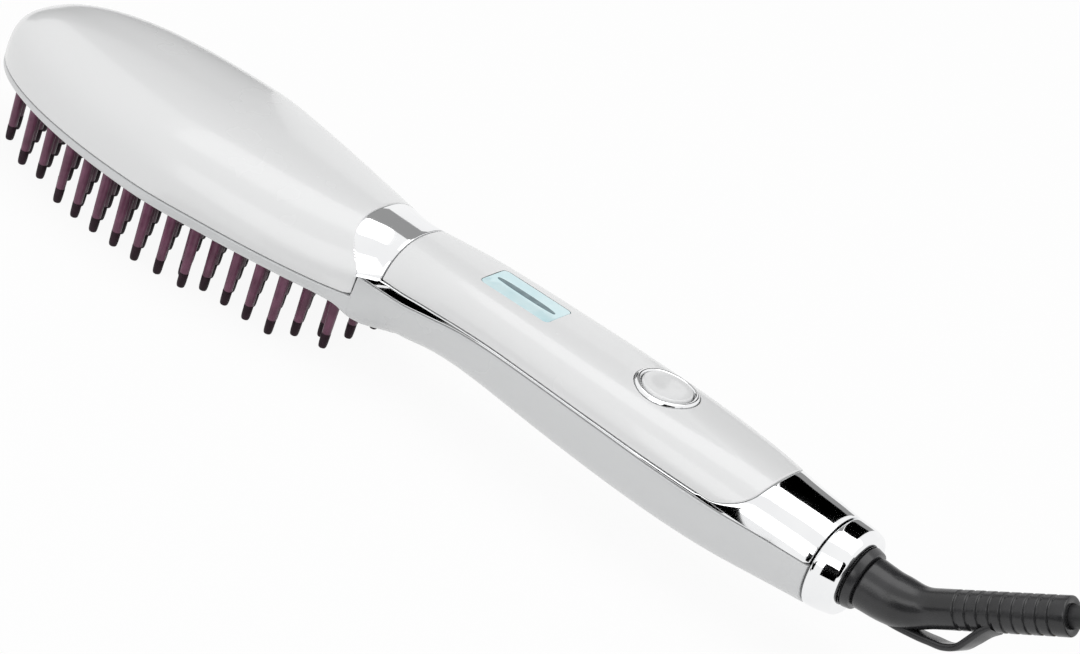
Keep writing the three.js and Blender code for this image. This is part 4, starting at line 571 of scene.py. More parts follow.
def relief_at(s):
    """Point and direction of the strain relief's centre line at a distance along it."""
    angle = min(max((s - RELIEF_STRAIGHT) / RELIEF_BEND_RADIUS, 0), RELIEF_BEND)
    straight = min(s, RELIEF_STRAIGHT)
    after = max(s - RELIEF_STRAIGHT - RELIEF_BEND_RADIUS * RELIEF_BEND, 0)
    point = np.array([
        RELIEF_X + straight + RELIEF_BEND_RADIUS * math.sin(angle) + after * math.cos(angle),
        0,
        AXIS_Z + RELIEF_BEND_RADIUS * (1 - math.cos(angle)) + after * math.sin(angle),
    ])
    return point, np.array([math.cos(angle), 0, math.sin(angle)])


def coil_at(turn):
    layer = min(math.floor(turn / TURNS_PER_LAYER), COIL_LAYERS - 1)
    within = turn / TURNS_PER_LAYER - layer
    inward = within if layer % 2 == 0 else 1 - within
    radius = COIL_MID_RADIUS + TURN_PITCH * TURNS_PER_LAYER * (0.5 - inward)
    level = sum(min(max((turn - k * TURNS_PER_LAYER) / 0.5 + 0.5, 0), 1) for k in range(1, COIL_LAYERS))
    angle = COIL_START + 2 * math.pi * turn
    return np.array([
        COIL_CENTRE[0] + radius * math.cos(angle),
        COIL_CENTRE[1] + radius * math.sin(angle),
        COIL_Z + TURN_PITCH * (COIL_LAYERS - 1 - level),
    ])


def flat_direction(a, b):
    d = b - a
    d[2] = 0
    return d / np.linalg.norm(d)


def cord_route():
    """Centre line of the whole cord, and where the plug begins and points."""
    end, along = relief_at(RELIEF_LENGTH)
    start_way = flat_direction(coil_at(0), coil_at(0.01))
    plug_way = flat_direction(coil_at(COIL_TURNS - 0.01), coil_at(COIL_TURNS))
    exit_point = end + along * SEAM
    meet = coil_at(0) - start_way * (CORD_DIAMETER + SEAM)
    pulls = [exit_point, exit_point + along * LEAD_EXIT_PULL, meet - start_way * LEAD_MEET_PULL, meet]
    t = np.linspace(0, 1, 41)[:, None]
    lead = sum(n * (1 - t) ** (3 - i) * t**i * pulls[i] for i, n in enumerate((1, 3, 3, 1)))
    coil = [coil_at(turn) for turn in np.linspace(0, COIL_TURNS, round(COIL_TURNS * TURN_STEPS) + 1)]
    coil_end = coil_at(COIL_TURNS) + plug_way * CORD_DIAMETER
    entry = coil_end + plug_way * (CORD_END_LENGTH + 2 * SEAM)
    entry[2] = PLUG_HEIGHT / 2
    share = np.linspace(0, 1, 9)[1:, None]
    eased = share * share * (3 - 2 * share)
    tail = coil_end + (entry - coil_end) * np.hstack([share, share, eased])
    return np.vstack([lead, coil, coil_end, tail]), entry, plug_way


def tube_grid(route, radius, sides):
    """Rings of a tube along a route."""
    ways = np.gradient(route, axis=0)
    ways /= np.linalg.norm(ways, axis=1, keepdims=True)
    side = np.cross(ways[0], [0, 0, 1.0])
    rings = []
    for point, way in zip(route, ways):
        side = side - way * side.dot(way)
        side /= np.linalg.norm(side)
        rings.append(ring(point, side, np.cross(side, way), radius, sides))
    return rings


route, plug_entry, plug_way = cord_route()
relief_end, relief_way = relief_at(RELIEF_LENGTH)
sheath = np.vstack([relief_end - relief_way * CORD_IN_RELIEF, route])
power_cord = add_mesh("power_cord", capped_tube(tube_grid(sheath, CORD_DIAMETER / 2, CORD_SIDES)), CORD,
                      ["cord_lead", "cord_coil", "cord_end"], body=None, sharp=SHARP_CORD, weld=False)
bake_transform(power_cord)


def plug_point(along, across, up):
    """A point of the plug, whose own x runs from its cord entry to its blades."""
    side = np.array([-plug_way[1], plug_way[0], 0])
    return plug_entry + plug_way * along + side * across + np.array([0, 0, up])


def make_plug():
    places = PLUG_LINE[:, 0]
    rings = []
    for x in np.unique(np.concatenate([np.linspace(0, places[-1], 61), places])):
        half, tall, power = (np.interp(x, places, PLUG_LINE[:, k]) for k in (1, 2, 3))
        grooved = GRIP_START < x < GRIP_END and (x - GRIP_START) % GRIP_PITCH < GRIP_GROOVE
        c, s, reach = round_form(bearings(64), power)
        half = half - np.clip((np.abs(c) - GRIP_SIDE) / GRIP_BLEND, 0, 1) * (GRIP_DEPTH if grooved else 0)
        rings.append([plug_point(x, across, up) for across, up in zip(half * c / reach, tall * s / reach)])
    return add_mesh("plug_moulding", capped_tube(rings), BLACK, ["plug_body"],
                    sharp=SHARP_TUBE, weld=False)


def make_blade(index, across):
    half = BLADE_WIDTH / 2
    outline = [(0, half)]
    for a in np.radians(np.linspace(0, 90, 7)):
        outline.append((BLADE_LENGTH - BLADE_CORNER * (1 - math.sin(a)), half - BLADE_CORNER * (1 - math.cos(a))))
    outline += [(x, -z) for x, z in reversed(outline)]
    layers = [[plug_point(BLADE_START + max(x - inset, 0), across + y, z * (1 - inset / half)) for x, z in outline]
              for y, inset in BLADE_LAYERS]
    return add_mesh(f"plug_blade_brass_{index}", capped_tube(layers), BRASS, [f"plug_blade_{index}"])


def make_tie():
    half_band = TURN_PITCH * TURNS_PER_LAYER / 2 + CORD_DIAMETER / 2 + TIE_GAP
    x0 = COIL_CENTRE[0] + COIL_MID_RADIUS - half_band - TIE_SLACK
    x1 = COIL_CENTRE[0] + COIL_MID_RADIUS + half_band
    top = COIL_Z + TURN_PITCH * (COIL_LAYERS - 1) + CORD_DIAMETER / 2 + TIE_GAP
    middle = np.array([(x0 + x1) / 2, (TIE_THICK + top) / 2])
    inner, outer = (middle + rounded_rectangle(0, (x1 - x0) / 2 + out, (top - TIE_THICK) / 2 + out,
                                               TIE_CORNER + out, 8) for out in (0, TIE_THICK))
    profile = TIE_PLACES + [(share, 1 - inward) for share, inward in reversed(TIE_PLACES)]
    chains = []
    for share, inward in profile:
        x, z = (outer + (inner - outer) * inward).T
        chains.append(np.stack([x, np.full_like(x, COIL_CENTRE[1] + TIE_WIDTH * share), z], -1))
    return add_mesh("coil_strap", wrapped(np.swapaxes(chains, 0, 1)), RUBBER, ["cord_tie"],
                    sharp=SHARP_TUBE)


plug_pieces = [make_plug(), make_blade(1, -BLADE_SPACING / 2), make_blade(2, BLADE_SPACING / 2)]
coil_strap = make_tie()

# ---- Shells of head and handle

EDGE = 0.4
CHROME_EDGE = 0.3
END_RING_LIP = 0.9
END_RING_BORE_ROUND = 0.4
COVER_FRONT_POWER = 2.8
COVER_SOLVE_START = 130.0
COVER_SOLVE_STEPS = 12


def front_place(bearing):
    """Shares of the head's reach and half width at a bearing on its front outline; 90 degrees is its side."""
    c, s, plan = round_form(bearing, HEAD_PLAN_POWER)
    return c / plan, s / plan


def both_sides(curves, edge_deep):
    """Columns of the near and the far side, and their depths, where the first ones are a rounded edge."""
    depths = [*edge_deep] + [0] * (len(curves) - len(edge_deep))
    return curves + [c * MIRRORED for c in curves[-2::-1]], depths + depths[-2::-1]


def cover_columns():
    """Fine curves from the back cover's lower edge up to the middle of its back."""
    angles = np.radians(np.concatenate([np.linspace(0, 12, 60), np.linspace(12, 90, 140)[1:]]))
    edge_far, edge_deep = lip(EDGE)
    curves = []
    for share, back in [(0, far) for far in edge_far] + [(share, EDGE) for share in np.linspace(0, 1, 42)[1:]]:
        x = np.full_like(angles, COVER_SOLVE_START)
        for _ in range(COVER_SOLVE_STEPS):
            limit = through(COVER_REAR_LINE, section(x, angles)[:, 2] - PARTING_Z) - back
            x = HEAD_WIDEST_X + (1 - share) * (limit - HEAD_WIDEST_X)
        curves.append(section(x, angles))
    c, _, form = round_form(angles, COVER_FRONT_POWER)
    for bearing in np.radians(np.linspace(90, 0, 34)[1:]):
        ahead, aside = front_place(bearing)
        x = HEAD_WIDEST_X - HEAD_REACH * c / form * ahead
        y = HEAD_HALF * c / form * aside
        curves.append(np.stack([x, y, roof(x, y)], -1))
    return both_sides(curves, edge_deep)


def rows_of(curves, near, count, ease=1.25, far=None):
    """Each curve at the same count of places: a rounded edge first, then evenly on, with another edge at the end."""
    near_far, near_deep = near
    end_far, end_deep = (np.zeros(1), np.zeros(1)) if far is None else (far[0][::-1], far[1][::-1])
    grid = []
    for curve in curves:
        total = length_of(curve)
        middle = near_far[-1] + (total - end_far[0] - near_far[-1]) * spread(count, ease)
        grid.append(resample(curve, np.concatenate([near_far, middle, total - end_far])))
    return np.array(grid), np.concatenate([near_deep, np.zeros(count), end_deep])


def make_cover():
    curves, column_depth = cover_columns()
    grid, row_depth = rows_of([trimmed(c, PARTING_Z + SEAM / 2) for c in curves], lip(EDGE), 40)
    add_mesh("back_cover_shell", shell_mesh(grid, row_depth, column_depth), WHITE, ["head_back_cover"])


def panel_edge(x):
    """Height over the parting plane of the top panel's lower edge."""
    corner_z = through(TRIM_LINE, PANEL_CORNER_X) + TRIM_SIDE_WIDTH
    return np.where(np.asarray(x) <= PANEL_CORNER_X, through(TRIM_LINE, x) + through(TRIM_WIDTH_LINE, x),
                    corner_z + through(PANEL_REAR_RISE, x))


def bearing_at(x, height):
    """Bearing in the section at x where the outer form stands at that height over the parting plane."""
    low, high = -math.pi / 2, math.pi / 2
    for _ in range(40):
        middle = (low + high) / 2
        if section(x, middle)[2] - PARTING_Z < height:
            low = middle
        else:
            high = middle
    return (low + high) / 2


def on_panel_edge(xs, gap=0.0):
    return [(x, bearing_at(x, panel_edge(x) - gap)) for x in xs]


def panel_rim():
    """The top panel's edge as x and bearing, first along its side and then round its rear end."""
    fine = np.linspace(PANEL_FAN_X, PANEL_REAR_X + 1.5, 400)
    end_x = float(fine[np.argmax(panel_edge(fine) >= top_height(fine))])
    rear = end_x - (end_x - PANEL_FAN_X) * (1 - np.sin(np.linspace(0, math.pi / 2, 26)[1:-1]))
    side = np.linspace(COLLAR_REAR_X, PANEL_FAN_X, 60)
    return on_panel_edge(side), on_panel_edge(rear) + [(end_x, math.pi / 2)]


def make_panel():
    side, rear = panel_rim()
    edge_far, edge_deep = lip(EDGE)
    side = on_panel_edge(COLLAR_REAR_X + edge_far) + side[1:]
    share = np.linspace(0, 1, 120)
    curves = []
    for k, (x, bearing) in enumerate(side + rear):
        pole_x = x if k < len(side) else side[-1][0]
        curves.append(section(x + (pole_x - x) * share, bearing + (math.pi / 2 - bearing) * share))
    curves, depths = both_sides(curves, edge_deep)
    grid, row_depth = rows_of(curves, lip(EDGE), 26, 1.15)
    return add_mesh("top_panel_shell", shell_mesh(grid, row_depth, depths), WHITE, ["handle_top_panel"])


def trim_at(x):
    """The bezel's lower edge at x, as x and bearing."""
    return x, bearing_at(x, through(TRIM_LINE, x) + SEAM)


def make_bezel():
    """Collar, side strips and tail trim: columns from round the top panel out to the neighbours."""
    side, rear = panel_rim()
    side = on_panel_edge([x for x, _ in side], SEAM)
    rear = [(x + SEAM * (k + 1) / len(rear), bearing) for k, (x, bearing) in enumerate(rear)]
    corner = (COLLAR_REAR_X - SEAM, side[0][1])
    ends = []
    # Collar, from the middle of the back down to the corner
    for bearing in np.linspace(math.pi / 2, corner[1], 34):
        height = section(corner[0], bearing)[2] - PARTING_Z
        ends.append(((corner[0], bearing), (float(through(COVER_REAR_LINE, height)) + SEAM, bearing)))
    # Corner over the trim line
    front_x, front_bearing = ends[-1][1]
    ends += [(corner, (front_x, b)) for b in np.linspace(front_bearing, trim_at(front_x)[1], 5)[1:]]
    ends += [(corner, trim_at(x)) for x in np.linspace(front_x, corner[0], 6)[1:]]
    # Side strip
    ends += [(place, trim_at(place[0])) for place in side[1:]]
    # Tail: half of the columns end along the trim line, and half round the end
    start_x, tail_bearing = side[-1][0], trim_at(TAIL_X)[1]
    for place, t in zip(rear, np.linspace(0, 2, len(rear) + 1)[1:]):
        round_end = (TAIL_X, tail_bearing + (math.pi / 2 - tail_bearing) * (t - 1))
        ends.append((place, trim_at(start_x + (TAIL_X - start_x) * t) if t <= 1 else round_end))
    share = np.linspace(0, 1, 100)
    curves = [section(x0 + (x1 - x0) * share, b0 + (b1 - b0) * share) for (x0, b0), (x1, b1) in ends]
    curves += [c * MIRRORED for c in curves[-2:0:-1]]
    grid, row_depth = rows_of(curves, lip(CHROME_EDGE), 12, 1.0, far=lip(CHROME_EDGE))
    add_mesh("bezel_trim", shell_mesh(grid, row_depth, np.zeros(len(grid)), wrap=True), CHROME, ["chrome_bezel"],
             sharp=SHARP_TRIM)


def bed_half(x, rear_x, inset):
    """Half width at x of the head's outline drawn in by inset and rounded off at its rear, as the pin bed is."""
    beyond = np.clip((x - BED_ROUND_X) / (rear_x - BED_ROUND_X), 0, 1)
    rounded = np.where(x > BED_ROUND_X, plan_half(BED_ROUND_X, inset) * np.sqrt(1 - beyond**2), HEAD_WIDTH)
    return np.minimum(plan_half(x, inset), rounded)


def base_curve(x):
    """The base shell's section at x, from its upper edge down and round to the recess or to the middle."""
    angles = np.radians(np.concatenate([np.linspace(60, -60, 200), np.linspace(-60, -90, 60)[1:]]))
    curve = section(x, angles)
    if x > HEAD_REAR_X:
        return trimmed(curve, PARTING_Z + through(TRIM_LINE, x), downwards=True)
    curve = trimmed(curve, PARTING_Z - SEAM / 2, downwards=True)
    half = float(bed_half(x, BED_REAR_X + SEAM, RIM_WALL))
    keep = curve[:, 1] >= half
    keep[0] = True
    last = int(np.nonzero(keep)[0][-1])
    if last + 1 < len(curve):
        a, b = curve[last], curve[last + 1]
        t = (a[1] - half) / max(a[1] - b[1], 1e-9)
        curve = np.vstack([curve[:last + 1], a + t * (b - a)])
    return curve


BASE_INNER_COUNT = 12


def flange_chain(outline, edge, x):
    """The inside of the base shell's rim: up the recess, in under the flange and back out over its top."""
    low, high = BED_BOTTOM_Z + BED_THICK + SEAM, PARTING_Z - SEAM / 2
    inward = (edge - outline) * [1, 1, 0]
    size = max(np.linalg.norm(inward), 1e-6)
    inward /= size
    in_neck = x > BED_ROUND_X
    flange = outline + inward * (min(FLANGE_DEPTH, size + abs(edge[1])) if in_neck else FLANGE_DEPTH)
    if in_neck:
        flange[1] = max(flange[1], 0)
    corner, top = [*flange[:2], high], [*(outline + inward * EDGE)[:2], high]
    return [[*edge[:2], low], [*flange[:2], low], corner, *np.linspace(corner, top, BASE_INNER_COUNT - 3)]


def make_base():
    far, deep = lip(EDGE)
    neck = HEAD_REAR_X - (HEAD_REAR_X - BED_ROUND_X) * (1 - np.cos(np.linspace(0, math.pi / 2, 22)[1:]))
    xs = [*(TAIL_X - far), *np.linspace(TAIL_X - EDGE, HEAD_REAR_X + 0.6, 64)[1:], HEAD_REAR_X + 0.02, HEAD_REAR_X,
          *neck, *np.linspace(BED_ROUND_X, HEAD_WIDEST_X, 16)[1:]]
    curves = [base_curve(x) for x in xs]
    widest = curves[-1]
    inset = widest[0, 1] - widest[:, 1]
    for bearing in np.radians(np.linspace(90, 0, 40)[1:]):
        ahead, aside = front_place(bearing)
        x = HEAD_WIDEST_X - (HEAD_REACH - inset) * ahead
        share = through(BOTTOM_LINE, x) / through(BOTTOM_LINE, HEAD_WIDEST_X)
        height = np.minimum((widest[:, 2] - PARTING_Z) * share, -SEAM / 2)
        curves.append(np.stack([x, (HEAD_HALF - inset) * aside, PARTING_Z + height], -1))
        xs.append(HEAD_WIDEST_X - 1)
    column_depth = [*deep] + [0] * (len(xs) - len(deep))
    grid, row_depth = rows_of(curves, lip(EDGE), 30, 1.1)
    normal = grid_normals(grid)
    rows = grid.shape[1]
    inside = np.linspace(rows - 1, 0, BASE_INNER_COUNT).round().astype(int)
    chains = []
    for x, skin, out, edge_depth in zip(xs, grid, normal, column_depth):
        inner = skin[inside] - out[inside] * SHELL_WALL if x > HEAD_REAR_X else flange_chain(skin[0], skin[-1], x)
        chains.append([*(skin - out * (row_depth + edge_depth)[:, None]), *inner])
    chains = np.array(chains)
    chains = np.concatenate([chains, chains[-2::-1] * MIRRORED])
    columns, count = chains.shape[:2]
    handle = [xs[min(c, columns - 1 - c)] > HEAD_REAR_X for c in range(columns)]
    # The handle's two halves meet under its middle, so no face stands between skin and inside there
    faces = [f for f in grid_faces(columns, count, wrap_rows=True)
             if not (f[0] % count == rows - 1 and handle[f[0] // count] and handle[f[1] // count])]
    for c in (0, columns - 1):
        inner = [rows + round((rows - 1 - a) * (BASE_INNER_COUNT - 1) / (rows - 1)) for a in range(rows)]
        for a in range(rows - 1):
            faces.append(tuple(c * count + i for i in dict.fromkeys((a, a + 1, inner[a + 1], inner[a]))))
    return add_mesh("base_shell_body", (chains.reshape(-1, 3), faces), SHADED_WHITE, ["base_shell"],
                    sharp=SHARP_BASE)


def make_end_ring():
    x0, x1 = TAIL_X + SEAM, TAIL_X + SEAM + END_RING_LENGTH
    far, deep = lip(END_RING_LIP)
    between = np.linspace(x0 + END_RING_LIP, x1 - END_RING_LIP, 12)[1:-1]
    xs = np.concatenate([x0 + far, between, x1 - far[::-1]])
    depths = np.concatenate([deep, 0 * between, deep[::-1]])[:, None]
    bore = [(x1, END_RING_BORE_ROUND), (x1 - 0.12, 0.1), (x1 - END_RING_BORE_ROUND, 0),
            (x0 + END_RING_BORE_ROUND, 0), (x0, END_RING_BORE_ROUND)]
    chains = []
    for a in bearings(112):
        skin = section(xs, a)
        out = skin * [0, 1, 1] - [0, 0, AXIS_Z]
        out /= np.linalg.norm(out, axis=1, keepdims=True)
        radii = [(x, END_RING_BORE + more) for x, more in bore]
        chains.append([*(skin - out * depths), *([x, r * math.cos(a), AXIS_Z + r * math.sin(a)] for x, r in radii)])
    add_mesh("end_ring", wrapped(chains), CHROME, ["chrome_end_ring"], sharp=SHARP_TRIM)


WINDOW_X = 176.5
WINDOW_LENGTH = 23
WINDOW_WIDTH = 12
WINDOW_CORNER = 1.5
WINDOW_THICK = 1.6
WINDOW_GAP = 0.08
BUTTON_X = 224
BUTTON_RADIUS = 7
BUTTON_GAP = 0.3
BUTTON_RING_WIDTH = 1.6
BUTTON_PROUD = 0.9
RING_PROUD = 0.75

RING_OUTER = BUTTON_RADIUS + BUTTON_GAP + BUTTON_RING_WIDTH
PANEL_HOLE = (PARTING_Z + 12, PARTING_Z + 40)

make_cover()
top_panel = make_panel()
make_bezel()
base = make_base()
make_end_ring()
cut(top_panel, [
    prism(rounded_rectangle(WINDOW_X, WINDOW_LENGTH / 2 + WINDOW_GAP, WINDOW_WIDTH / 2 + WINDOW_GAP, WINDOW_CORNER),
          *PANEL_HOLE),
    prism(circle(BUTTON_X, 0, RING_OUTER + SEAM, 72), *PANEL_HOLE),
])

# ---- Display window, power button and its ring, which follow the back's crown

BUTTON_THICK = 1.3
BUTTON_EDGE = 0.7
BUTTON_DISH = 0.3
BUTTON_DISH_RADIUS = 5.6
WINDOW_EDGE = 0.12
BAR_LENGTH = 19.5
BAR_WIDTH = 2.3
BAR_POWER = 2.6
BAR_PROUD = 0.03
BAR_THICK = 0.4
BAR_EDGE = 0.02
RING_DEPTH = 2.2
# Distance from the ring's edge, and depth under its crest
RING_EDGE = [(0, RING_DEPTH), (0, 0.85), (0.06, 0.58), (0.2, 0.32), (0.4, 0.13), (0.6, 0.03)]


def crowned_plate(name, plan, reach, proud, thick, edge, material, node, dish=None, rings=14, body="root"):
    """A plate that follows the back: plan(inset) is its closed outline, and reach how far in it can be drawn."""
    chain = []
    for inset, depth in [(0, thick), *zip(*lip(edge)), *((edge + (reach - edge) * s, 0) for s in spread(rings))]:
        x, y = np.array(plan(inset)).T
        z = roof(x, y) + proud - depth
        chain.append(np.stack([x, y, z - dish(x, y) if dish else z], -1))
    add_mesh(name, capped_tube(chain), material, [node], body, sharp=SHARP_TUBE, weld=False)


def window_plan(inset):
    return rounded_rectangle(WINDOW_X, WINDOW_LENGTH / 2 - inset, WINDOW_WIDTH / 2 - inset,
                             max(WINDOW_CORNER - inset, 0.1))


def bar_plan(inset):
    c, s, reach = round_form(bearings(64), BAR_POWER)
    return np.column_stack([WINDOW_X + (BAR_LENGTH / 2 - inset) * c / reach, (BAR_WIDTH / 2 - inset) * s / reach])


def button_plan(inset):
    return circle(BUTTON_X, 0, BUTTON_RADIUS - inset, 72)


def button_dish(x, y):
    share = np.minimum(np.hypot(x - BUTTON_X, y) / BUTTON_DISH_RADIUS, 1)
    return BUTTON_DISH * (1 + np.cos(math.pi * share)) / 2


def make_button_ring():
    inner = BUTTON_RADIUS + BUTTON_GAP
    profile = [(inner + d, deep) for d, deep in RING_EDGE] + [((inner + RING_OUTER) / 2, 0)]
    profile += [(RING_OUTER - d, deep) for d, deep in reversed(RING_EDGE)]
    chain = []
    for radius, depth in profile:
        x, y = np.array(circle(BUTTON_X, 0, radius, 96)).T
        chain.append(np.stack([x, y, roof(x, y) + RING_PROUD - depth], -1))
    add_mesh("button_ring_trim", wrapped(chain), CHROME, ["button_ring"], sharp=SHARP_TUBE)


crowned_plate("window_lens", window_plan, WINDOW_WIDTH / 2 - 0.2, 0, WINDOW_THICK, WINDOW_EDGE, LENS,
              "display_window")
crowned_plate("level_bar", bar_plan, BAR_WIDTH / 2 - 0.1, BAR_PROUD, BAR_THICK, BAR_EDGE, SEGMENT,
              "display_window", rings=2)
crowned_plate("button_cap", button_plan, BUTTON_RADIUS - 0.1, BUTTON_PROUD, BUTTON_THICK, BUTTON_EDGE, WHITE,
              "power_button", button_dish, body="button")
make_button_ring()

# ---- Turned pieces: screws and the swivel's barrel

SCREW_RADIUS = 1.1
SCREW_HEAD_RADIUS = 2.2
SCREW_HEAD_HEIGHT = 1.3
SCREW_CROWN = ((0.2, 0), (1.1, 0.02), (1.7, 0.16), (2.05, 0.42), (SCREW_HEAD_RADIUS, 0.8))
SCREW_POINT_RADIUS = 0.4
SCREW_POINT_LENGTH = 1
CROSS_CORNERS = ((0.7, 0.7), (-0.7, 0.7), (-0.7, -0.7), (0.7, -0.7))
HEAD_SCREW_LENGTH = 12
HEAD_SCREW_PITCHES = [2.5, 12.5]
HEAD_SCREW_Y = 11.8
HANDLE_SCREW_X = 147.8
HANDLE_SCREW_Y = 6
HANDLE_SCREW_DEEP = 1.2
HANDLE_BOSS_TOP = 11
CROSS_HALF = 1.35
CROSS_HALF_WIDTH = 0.3
CROSS_DEPTH = 0.75
PIN_PITCH = 7.95
PINS_IN_LINE = 16
PIN_FIRST_X = 9.5
PIN_LINE_PITCH = 7.15
PIN_LINES_EACH_SIDE = 4
PIN_MOST_SHIFT = 3.2
PIN_FIELD_HALF = 29
PIN_FIELD_REACH = 66.5
PIN_FIELD_REAR_X = 132
PIN_ROOT_RADIUS = 1.5
PIN_END_RADIUS = 1.25
PIN_EDGE_INSET = RIM_WALL + SEAM + PIN_ROOT_RADIUS + 0.2
PIN_SIDES = 16
TIP_LENGTH = 4.6
TIP_STEP = 0.05
TIP_EDGE = 0.1
# Radius and height pairs of a tip's round end
TIP_END = ((0.8, 0), (1.0, 0.12), (1.13, 0.4), (1.22, 0.9), (1.28, 1.6))
SHAFT_MIDDLE_Z = 12
# How much wider than its root a pin is, and how far above the bed's underside that lies
PIN_FOOT = ((0.12, -0.4), (0.5, 0.02), (0, 0.6))


def upright(profile, x, y, z, sides):
    """Vertices and faces of a turned piece that stands on z: profile holds its radius and height pairs."""
    return capped_tube([ring([x, y, z + up], [1, 0, 0], [0, 1, 0], radius, sides) for radius, up in profile])


def make_screw(node, x, y, z, length):
    """A pan-head screw with its head down at z, and a cross recess in it."""
    profile = [*SCREW_CROWN, (SCREW_HEAD_RADIUS, SCREW_HEAD_HEIGHT), (SCREW_RADIUS, SCREW_HEAD_HEIGHT),
               (SCREW_RADIUS, length - SCREW_POINT_LENGTH), (SCREW_POINT_RADIUS, length)]
    screw = add_mesh(f"{node}_cross_head", upright(profile, x, y, z, 32), STEEL, [node], weld=False)
    for turn in (1, -1):
        bar = [(x + u * CROSS_HALF - v * turn * CROSS_HALF_WIDTH, y + u * turn * CROSS_HALF + v * CROSS_HALF_WIDTH)
               for u, v in CROSS_CORNERS]
        cut(screw, [prism(bar, z - 1, z + CROSS_DEPTH)])


head_screw_places = [(PIN_FIRST_X + pitches * PIN_PITCH, side * HEAD_SCREW_Y)
                     for pitches in HEAD_SCREW_PITCHES for side in (-1, 1)]
handle_screw_places = [(HANDLE_SCREW_X, side * HANDLE_SCREW_Y) for side in (-1, 1)]
handle_screw_z = float(roof(HANDLE_SCREW_X, HANDLE_SCREW_Y, underside=True)) + HANDLE_SCREW_DEEP
for kind, places, z, length in (
        ("head", head_screw_places, BED_BOTTOM_Z - SEAM - SCREW_HEAD_HEIGHT, HEAD_SCREW_LENGTH),
        ("handle", handle_screw_places, handle_screw_z, PARTING_Z + SEAM + HANDLE_BOSS_TOP - handle_screw_z)):
    for index, (x, y) in enumerate(places):
        make_screw(f"{kind}_screw_{index + 1}", x, y, z, length)
cut(base, [prism(circle(x, y, SCREW_HEAD_RADIUS + SEAM, 40), 0, handle_screw_z + SCREW_HEAD_HEIGHT + SEAM)
           for x, y in handle_screw_places])

BEARING_FRONT_X = 266
BARREL_RADIUS = 6
BARREL_BORE_RADIUS = 1.6
BARREL_STOP_RADIUS = 7.4
BARREL_STOP_LENGTH = 2.2
STUB_RADIUS = 3.5
STUB_FRONT_X = 251
BARREL_ROUND = 0.2
# How far back from its face, and how far in from its radius, the flange's edge runs at front and rear
FLANGE_FRONT_EDGE = ((0, 0.3), (0.1, 0.1), (0.3, 0))
FLANGE_REAR_EDGE = ((-0.4, 0.35), (-0.1, 0.5), (0, 0.8))


def make_barrel():
    stop_end_x = BEARING_FRONT_X - SEAM
    stop_x = stop_end_x - BARREL_STOP_LENGTH
    rear_x = FLANGE_X + BARREL_FLANGE_LENGTH
    profile = [(STUB_FRONT_X, BARREL_BORE_RADIUS), (STUB_FRONT_X, STUB_RADIUS - BARREL_ROUND),
               (STUB_FRONT_X + BARREL_ROUND, STUB_RADIUS), (stop_x, STUB_RADIUS),
               (stop_x, BARREL_STOP_RADIUS - BARREL_ROUND), (stop_x + BARREL_ROUND, BARREL_STOP_RADIUS),
               (stop_end_x, BARREL_STOP_RADIUS), (stop_end_x, BARREL_RADIUS), (FLANGE_X, BARREL_RADIUS),
               *((x + back, BARREL_FLANGE_RADIUS - less)
                 for x, edge in ((FLANGE_X, FLANGE_FRONT_EDGE), (rear_x, FLANGE_REAR_EDGE)) for back, less in edge),
               (rear_x, BARREL_BORE_RADIUS)]
    rings = [ring([x, 0, AXIS_Z], [0, 1, 0], [0, 0, 1], radius, 64) for x, radius in profile]
    add_mesh("swivel_flange", wrapped(rings), RUBBER, ["swivel_barrel"], "swivel")


make_barrel()

# ---- Pins, their dark tips, and the bed that carries them


def field_half(x):
    """Half width at x of the field that the pins stand in."""
    ahead = max((HEAD_WIDEST_X - x) / PIN_FIELD_REACH, 0)
    front = PIN_FIELD_HALF * math.sqrt(max(1 - ahead**2, 0))
    return min(front, float(bed_half(x, PIN_FIELD_REAR_X, PIN_EDGE_INSET)))


def pin_places():
    places = []
    for line in range(-PIN_LINES_EACH_SIDE, PIN_LINES_EACH_SIDE + 1):
        y = line * PIN_LINE_PITCH
        first = PIN_FIRST_X - (line % 2) * PIN_PITCH / 2
        for i in range(PINS_IN_LINE):
            x = first + i * PIN_PITCH
            edge = field_half(x)
            if abs(y) - edge <= PIN_MOST_SHIFT:
                places.append((x, math.copysign(min(abs(y), edge), y)))
    return places


def many(profile, places):
    """Vertices and faces of the same turned piece at many places."""
    all_points, all_faces = [], []
    for x, y in places:
        points, faces = upright(profile, x, y, 0, PIN_SIDES)
        first = len(all_points)
        all_points.extend(points)
        all_faces.extend(tuple(first + i for i in face) for face in faces)
    return all_points, all_faces


def shaft_radius(z):
    return PIN_END_RADIUS + (PIN_ROOT_RADIUS - PIN_END_RADIUS) * (z - 1) / (PIN_STAND - 1)


